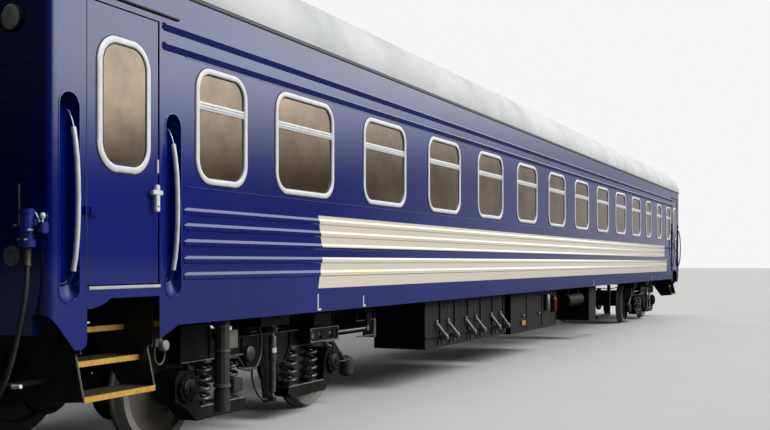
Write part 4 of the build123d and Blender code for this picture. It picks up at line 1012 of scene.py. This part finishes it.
# Sections by inset from the ring's outline, and depth behind the leaf's face
DOOR_RING = [
    (-0.003, 0.002), (-0.003, -0.006), (0.006, -0.013), (0.034, -0.014), (0.043, -0.012),
    (0.046, -0.008), (0.046, 0.001), (0.010, 0.001),
]
DOOR_INNER_SEAL = [
    (0.044, -0.0095),
    (0.049, -0.0112),
    (0.054, -0.0108),
    (0.056, -0.008),
    (0.056, -0.003),
    (0.044, -0.003),
]
DOOR_SEAL = [(-0.010, 0.002), (-0.010, -0.003), (-0.002, -0.005), (-0.002, 0.002)]
DOOR_RADIUS, DOOR_PANE_RADIUS, DOOR_RING_WIDTH = 0.200, 0.150, 0.050
HINGE_RISE = (1.838, 1.896)
HANDLE_AT = from_end(DOOR_TO - 0.064)
HANDLE_FRONT = DOOR_FACE - 0.049
CORNERS = list(zip(("near_left", "near_right", "far_left", "far_right"), ALL_CORNERS))


def door_white():
    """The white pieces of a side door: its window ring, the cross handle and a bolt cover."""
    shape = bmesh.new()
    ring(shape, DOOR_LIGHT, DOOR_LIGHT_SIZE, DOOR_RADIUS, DOOR_RING, DOOR_FACE)
    for left, right, depth, rise in (
        (0.021, 0.021, (HANDLE_FRONT, HANDLE_FRONT + 0.028), above(1.893, 2.087)),
        (0.058, 0.054, (HANDLE_FRONT - 0.002, HANDLE_FRONT + 0.030), above(2.013, 2.047)),
    ):
        slab(shape, (HANDLE_AT - left, HANDLE_AT + right), depth, rise, 0.005)
    boss = [(-0.046, 0.0), (-0.046, 0.0195), (0.001, 0.0205)]
    turned(shape, boss, (from_end(DOOR_TO - 0.070), DOOR_FACE, RAIL + 2.030), 20)
    bolt_cover = along(DOOR_TO - 0.030, DOOR_TO - 0.012)
    slab(shape, bolt_cover, (DOOR_FACE - 0.014, DOOR_FACE + 0.002), above(2.175, 2.275), 0.004)
    return shape


def door_seals():
    """The rubber on both edges of the window ring, and the dark keyhole in the handle."""
    shape = bmesh.new()
    for section in (DOOR_SEAL, DOOR_INNER_SEAL):
        ring(shape, DOOR_LIGHT, DOOR_LIGHT_SIZE, DOOR_RADIUS, section, DOOR_FACE)
    keyhole = [(-0.0505, 0.0), (-0.0505, 0.007), (-0.045, 0.007)]
    turned(shape, keyhole, (HANDLE_AT, DOOR_FACE, RAIL + 1.930), 12)
    return shape


def door_pane():
    """The tall pane, which sits nearly flush in its ring."""
    shape = bmesh.new()
    clear = [length - 2 * DOOR_RING_WIDTH for length in DOOR_LIGHT_SIZE]
    pane(shape, DOOR_LIGHT, clear, DOOR_PANE_RADIUS, DOOR_FACE - 0.0065, DOOR_FACE)
    return shape


for name, place in CORNERS:
    painted(body_enamel, f"side_door_{name}")
    hinge = slabs(((0.348, 0.425), (DOOR_FACE - 0.030, DOOR_FACE + 0.002), HINGE_RISE, 0.006))
    for title, made, finish, slot, sharp in (
        ("door_pane", door_pane(), tinted, "glass", 35),
        ("door_white", door_white(), white_paint, "white_trim", 50),
        ("door_seal", door_seals(), seal_rubber, "rubber", 50),
        ("door_hinge", hinge, body_enamel, "blue_paint", 35),
    ):
        piece = finished(f"{title}_{name}", copied(made, [place]), finish, f"side_door_{name}", sharp)
        if title == "door_pane":
            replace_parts(piece, f"door_glass_{name}")

# Thresholds and steps
# A bright metal strip edges the floor, and treads of folded steel plate hang between two cheeks.
# Their noses are painted yellow, and boots have worn them.

# Pale brushed metal, dark plate worn to bare steel, and a warm scuffed yellow
threshold_metal = coated("brushed_aluminium", "#dcdde2", "#c6c8cd", 0.05, 0.3, 0.002, 0.0002, 0.35)
tread_plate = coated("worn_tread_plate", "#1d1f20", "#2e3030", 0.09, 0.5, 0.012, 0.0012, 0.3, dust=0.5)
nosing_paint = coated("worn_yellow_enamel", "#dfae45", "#c08f33", 0.04, 0.5, 0.006, 0.0006, dust=0.2)
painted(tread_plate, "stair_flights")
painted(nosing_paint, "step_nosings")
DRIP_STRIP = [(0.002, 0.012), (-0.019, 0.004), (-0.019, -0.006), (-0.014, -0.012), (0.002, -0.012)]
CHEEK_EDGE = [(0.060, 0.915), (0.108, 0.910), (0.034, 0.596), (0.170, 0.585), (0.330, 0.572)]
strip = slabs(((0.349, 1.108), (-SIDE - 0.010, -SIDE + 0.004), (1.342, 1.364), 0.003))
fitted("threshold_strips", strip, ALL_CORNERS, threshold_metal)
stop = slabs(((0.296, 0.334), (-SIDE - 0.022, -SIDE + 0.002), HINGE_RISE, 0.006))
fitted("door_stops", stop, ALL_CORNERS, body_enamel)
# A rubber strip in the joint beside each door, and one over it that turns the rain away
shape = slabs(((0.331, 0.337), (-SIDE - 0.0015, -SIDE + 0.004), (1.345, 3.318), 0))
moulding(shape, [(-SIDE + y, RAIL + 3.348 + z) for y, z in DRIP_STRIP], along(0.115, 1.325))
fitted("drip_strips", shape, ALL_CORNERS, seal_rubber)
# Light bars along the edges of the stair cheeks, a painted highlight
shape = bmesh.new()
for x in (DOOR_FROM + 0.012, DOOR_TO - 0.012):
    bar(shape, [(from_end(x), -SIDE + depth, RAIL + z) for depth, z in CHEEK_EDGE], 0.005, 6)
fitted("cheek_edge_highlights", shape, ALL_CORNERS, grey_steel_and_highlight)
# An air filter with a white cap, held under the door pillar, and its bent steel pipe
FILTER_CAP = [(-0.030, 0.0), (-0.030, 0.030), (-0.022, 0.040), (0.020, 0.042), (0.020, 0.0)]
# The pipe's loop: its middle, half its size each way, and its steps, first angle and turn in degrees
LOOP_AT, LOOP_SIZE, LOOP_STEPS, LOOP_START, LOOP_TURN = (1.240, 0.840), (0.062, 0.082), 10, 20, -22
LOOP_PLANE = -1.405
# Off-white enamel given as a pale grey, with a little dust
cap_paint = coated("pale_cap_enamel", "#a3a49b", "#85867d", 0.02, 0.4, 0.004, 0.0003, dust=0.2)
shape = bmesh.new()
turned(shape, FILTER_CAP, (from_end(1.270), -1.420, RAIL + 0.900), 24)
fitted("filter_cap", shape, TURNED_PAIR, cap_paint)
shape = slabs(((1.235, 1.275), (-1.404, -1.396), (0.905, 1.060), 0.003))
loop = []
for step in range(LOOP_STEPS + 1):
    angle = math.radians(LOOP_START + LOOP_TURN * step)
    x, z = LOOP_AT[0] + LOOP_SIZE[0] * math.cos(angle), LOOP_AT[1] + LOOP_SIZE[1] * math.sin(angle)
    loop.append((from_end(x), LOOP_PLANE, RAIL + z))
bar(shape, loop + [(from_end(1.180), LOOP_PLANE, RAIL + 0.905)], 0.006, 8)
slab(shape, along(1.165, 1.205), (-1.425, -1.385), above(0.895, 1.060), 0.005)
slab(shape, along(1.290, 1.312), (-1.420, -1.390), above(0.860, 0.930), 0.004)
fitted("filter_pipe", shape, TURNED_PAIR, grey_steel_and_highlight)

# Handrails
# A bowed steel tube at each side of a door, with a white grip between two thin blue ends.
# The ends turn inwards and are fixed to the floor of the pocket.
RAIL_PLACES = (0.170, 1.222)
GRIP = [  # distance outwards from the side, and height above the rail
    (0.034, 1.470), (0.052, 1.560), (0.066, 1.680), (0.073, 1.810), (0.0755, 1.935), (0.073, 2.060),
    (0.066, 2.190), (0.052, 2.305), (0.034, 2.400),
]
GRIP_ENDS = [
    [(0.036, 2.392), (0.018, 2.450), (-0.006, 2.500), (-0.050, 2.535), (-0.094, 2.545)],
    [(0.036, 1.478), (0.016, 1.425), (-0.010, 1.392), (-0.050, 1.378), (-0.094, 1.375)],
]
# Glossy white, which draws a thin highlight along the tube
white_tube = coated("gloss_white_enamel", "#eceded", "#d6d6d4", 0.06, 0.22, 0.01, 0.0002, dust=0.1)
for title, material, slot, lines, radius in (
    ("handrail_grips", white_tube, "white_tube", [GRIP], 0.017),
    ("handrail_ends", body_enamel, "white_tube", GRIP_ENDS, 0.010),
):
    shape = bmesh.new()
    for place in RAIL_PLACES:
        for line in lines:
            bar(shape, [(from_end(place), -SIDE - out, RAIL + z) for out, z in line], radius, 14)
    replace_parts(fitted(title, shape, ALL_CORNERS, material, 60), "handrails")

# Roof
# An arched roof of thin steel sheet with its vents, sprayed white and dulled by soot in soft patches.
# A dark gutter is welded along each of its lower edges.

# A flat grey white, and a dark blue grey
roof_white = coated("weathered_white_enamel", "#cbcdce", "#b6b9ba", 0.9, 0.45, 0.05, 0.0006, dust=0.15)
gutter_paint = coated("dark_gutter_enamel", "#2b2d33", "#3c3f45", 0.3, 0.4, 0.01, 0.0003, dust=0.2)
painted(roof_white, "roof", "roof_vents")
painted(gutter_paint, "gutters")

# Inside
# Bulkheads and compartment walls faced with a pale laminate, which show a little through the glass.
# The floors have a dull grey cover, and the plates over the stairs are worn tread plate.

# A warm beige and a dull grey, both dim behind the glass
laminate = coated("pale_laminate", "#8b7c66", "#7a6d5a", 0.5, 0.4)
floor_cover = coated("grey_floor_cover", "#3c3a37", "#474440", 0.3, 0.6, 0.01, 0.0003)
painted(laminate, "vestibule_bulkheads", "compartment_walls")
painted(floor_cover, "floor", "vestibule_floors")
painted(tread_plate, *(f"trap_{name}" for name, place in CORNERS))

# End walls
# Ribbed steel sheet with round marker lamps, the jumper head and the gangway of rubber rolls.
# Lamps, plug head and covers are screwed on, and the coupler is one heavy casting.

# Dull black rubber, pale glass with a wet shine, glossy blue enamel, and rough dusty steel
rubber = coated("black_gangway_rubber", "#141516", "#222324", 0.15, 0.6, 0.02, 0.001, dust=0.4)
lamp_glass = coated("lamp_lens_glass", "#9aa3a2", "#8b9493", 0.05, 0.12, 0.006, 0.0004, coat=0.5)
socket_paint = coated("blue_fitting_enamel", "#24308f", "#1c2576", 0.08, 0.25, 0.01, 0.0003, coat=0.3)
cast_steel = coated("dusty_cast_steel", "#26241f", "#39342c", 0.08, 0.65, 0.006, 0.0012, 0.2, dust=0.6)
painted(rubber, "gangway_rolls")
painted(black_paint_and_shade, "gangway_frames")
painted(tread_plate, "gangway_footplates")
painted(socket_paint, "jumper_sockets")
painted(cast_steel, "coupler_heads")
LAMP_Y, LAMP_UP = 1.190, RAIL + 3.110
COVER_Y, COVER_UP = 1.186, RAIL + 1.566
# Sections by distance outwards from the end wall, and radius
LAMP_RIM = [(-0.002, 0.098), (0.018, 0.096), (0.022, 0.090), (0.018, 0.084), (0.004, 0.084)]
LENS = [(-0.002, 0.086), (0.014, 0.086), (0.020, 0.080), (0.027, 0.055), (0.031, 0.030), (0.032, 0.0)]
COVER_PLATE = [(-0.002, 0.0), (-0.002, 0.068), (0.010, 0.066), (0.014, 0.058), (0.008, 0.050), (0.008, 0.0)]


def on_ends(section, places, y, z, steps):
    """A new shape of pieces turned out of the end walls, at each (end, side) of the places."""
    shape = bmesh.new()
    for end, side in places:
        turned(shape, [(end * (END + out), radius) for out, radius in section], (0, side * y, z), steps, "X")
    return shape


lamps = ((-1, -1), (-1, 1), (1, -1), (1, 1))
fitted("lamp_rims", on_ends(LAMP_RIM, lamps, LAMP_Y, LAMP_UP, 32), [HERE], black_paint_and_shade)
lenses = on_ends(LENS, lamps, LAMP_Y, LAMP_UP, 32)
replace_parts(fitted("lamp_lenses", lenses, [HERE], lamp_glass), "marker_lamps")
# Plug head: hinged lid, catch with its white knob, and the gland where the cable comes out
PLUG_AT = (CABLE_PLANE, -1.385, RAIL)
CATCH_AT = (-END - 0.040, -1.485, RAIL)
# Sections by height above the rail, and radius
KNOB = [(1.800, 0.0), (1.803, 0.013), (1.820, 0.019), (1.837, 0.013), (1.840, 0.0)]
GLAND = [(1.503, 0.0), (1.503, 0.0255), (1.512, 0.0255), (1.516, 0.023)]
GLAND += [(1.6, 0.025), (1.622, 0.03), (1.624, 0.0)]
# Points by y and height above the rail
CATCH_GRIP = [(-1.352, 1.840), (-1.390, 1.856), (-1.430, 1.835), (-1.458, 1.785), (-1.462, 1.720)]
SCREWS = [(-1.330, 1.758), (-1.335, 1.600), (-1.440, 1.727), (-1.360, 1.668), (-1.412, 1.668)]
shape = bmesh.new()
for low, high, radius in ((1.622, 1.668, 0.056), (1.835, 1.862, 0.050)):
    turned(shape, plain(low, high, radius), PLUG_AT, 28, "Z")
slab(shape, (-END - 0.060, -END + 0.002), (-1.500, -1.452), above(1.708, 1.779), 0.006)
slab(shape, (-END - 0.030, -END + 0.002), (-1.452, -1.330), above(1.730, 1.760), 0.005)
fitted("plug_head_parts", shape, [HERE], socket_paint)
shape = bmesh.new()
bar(shape, [(CABLE_PLANE + 0.030, y, RAIL + z) for y, z in CATCH_GRIP], 0.006, 8)
turned(shape, KNOB, CATCH_AT, 16, "Z")
turned(shape, plain(1.775, 1.810, 0.006), CATCH_AT, 8, "Z")
fitted("plug_catch", shape, [HERE], white_paint)
# Bright screws of the plug head, and a thin conduit that climbs the wall from it
shape = bmesh.new()
for y, z in SCREWS:
    screw = [(-0.016, 0.0), (-0.016, 0.008), (0.030, 0.009), (0.030, 0.0)]
    turned(shape, screw, (CABLE_PLANE - 0.040, y, RAIL + z), 8, "X")
bar(shape, [(-END - 0.008, -1.256, z) for z in above(1.760, 2.030)], 0.0045, 8)
fitted("plug_screws", shape, [HERE], latch_steel)
shape = bmesh.new()
turned(shape, GLAND, PLUG_AT, 24, "Z")
fitted("cable_gland", shape, [HERE], cable_rubber)
# Uncoupling lever: a steel rod across the end, bent down to the coupler, with a white grip at the side
LEVER_X = -END - 0.045
LEVER = [(-1.240, 0.728), (-1.000, 0.728), (-0.420, 0.728), (-0.300, 0.780), (-0.120, 0.880), (-0.060, 0.960)]
LEVER_BRACKETS = (-1.180, -0.480)
LEVER_GRIP = [(-1.236, 0.728), (-1.290, 0.730), (-1.308, 0.733)]
shape = bmesh.new()
bar(shape, [(LEVER_X, y, RAIL + z) for y, z in LEVER], 0.012, 10)
for y in LEVER_BRACKETS:
    slab(shape, (-END - 0.062, -END + 0.350), (y - 0.012, y + 0.012), above(0.712, 0.744), 0.003)
fitted("uncoupling_levers", shape, TURNED_PAIR, black_paint_and_shade)
shape = bmesh.new()
bar(shape, [(LEVER_X, y, RAIL + z) for y, z in LEVER_GRIP], 0.014, 12)
fitted("lever_grips", shape, TURNED_PAIR, white_paint)
# A round grey cover plate on the end wall, with a raised rim
covers = on_ends(COVER_PLATE, ((-1, -1), (1, 1)), COVER_Y, COVER_UP, 28)
fitted("end_wall_covers", covers, [HERE], latch_steel)

# Floor and light
# A plain pale floor, soft light from the sky all round, and one broad lamp over the photographed side.
# The paint's gloss mirrors a bright sky over a darker wall, as in the open beside a building.
FLOOR_REACH, BACKDROP = 260, 0.92
LAMP_POWER, LAMP_SPREAD, LAMP_LEAN, LAMP_TURN = 2.5, 35, 53, 18  # the last three in degrees
floor_material = coated("studio_floor", "#d6d6d4", "#d2d2d0", 3.0, 0.8)
tree = floor_material.node_tree
base = tree.nodes["Principled BSDF"].inputs["Base Color"]
# The camera sees the pale floor, while paint and metal mirror a darker one
rays = add(tree, "ShaderNodeLightPath").outputs
tones = {0: rays["Is Glossy Ray"], 6: linear("#4c4c4a"), 7: linear("#232322")}
bounced = add(tree, "ShaderNodeMix", BLEND, tones).outputs[2]
tones = {0: rays["Is Camera Ray"], 6: bounced, 7: base.links[0].from_socket}
seen = add(tree, "ShaderNodeMix", BLEND, tones)
tree.links.new(seen.outputs[2], base)
shape = bmesh.new()
bmesh.ops.create_grid(shape, x_segments=1, y_segments=1, size=FLOOR_REACH)
floor_mesh = bpy.data.meshes.new("studio_floor")
shape.to_mesh(floor_mesh)
shape.free()
floor_mesh.materials.append(floor_material)
studio_floor = bpy.data.objects.new("studio_floor", floor_mesh)
scene.collection.objects.link(studio_floor)
studio_floor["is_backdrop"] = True

sun_data = bpy.data.lights.new("broad_lamp", "SUN")
sun_data.energy = LAMP_POWER
sun_data.angle = math.radians(LAMP_SPREAD)
sun = bpy.data.objects.new("broad_lamp", sun_data)
sun.rotation_euler = (math.radians(LAMP_LEAN), 0, math.radians(LAMP_TURN))
scene.collection.objects.link(sun)

world = bpy.data.worlds.new("studio_sky")
world.use_nodes = True
scene.world = world
tree = world.node_tree
sky = tree.nodes["Background"]
direction = add(tree, "ShaderNodeTexCoord").outputs["Generated"]
toward = add(tree, "ShaderNodeSeparateXYZ", {}, {0: direction}).outputs
SKY_RAMPS = [  # axis, the direction's share along it from and to, and the brightness there
    ("X", -0.7, 0.5, 0.02, 0.66),
    ("X", 0.88, 1.0, 0.08, 0.52),
    ("Y", -0.2, 0.2, 2.0, 1.0),
    ("X", -0.5, 0.2, 0.02, 1.0),
]
ramps = []
for axis, start, finish, first, last in SKY_RAMPS:
    run = {"Value": toward[axis], "From Min": start, "From Max": finish, "To Min": first, "To Max": last}
    ramps.append(add(tree, "ShaderNodeMapRange", {}, run))
soft, wall, bright_side, before_end = ramps
# What the gloss mirrors: a darker wall low down, and an open sky above it
open_sky = add(tree, "ShaderNodeMath", TIMES, {0: bright_side, 1: before_end})
low_sky = add(tree, "ShaderNodeMath", TIMES, {0: wall, 1: before_end})
rise = {"Value": toward["Z"], "From Min": 0.075, "From Max": 0.20, "To Min": low_sky, "To Max": open_sky}
mirrored = add(tree, "ShaderNodeMapRange", {"interpolation_type": "SMOOTHSTEP"}, rise)
rays = add(tree, "ShaderNodeLightPath").outputs
straight = {0: rays["Is Camera Ray"], 1: rays["Is Transmission Ray"]}
seen = add(tree, "ShaderNodeMath", {"operation": "MAXIMUM"}, straight)
level = add(tree, "ShaderNodeMix", {}, {0: rays["Is Glossy Ray"], 2: soft, 3: mirrored})
strength = add(tree, "ShaderNodeMix", {}, {0: seen, 2: level, 3: BACKDROP})
sky.inputs["Color"].default_value = (1, 1, 1, 1)
tree.links.new(strength.outputs[0], sky.inputs["Strength"])

scene.view_settings.view_transform = "Standard"
low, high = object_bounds()
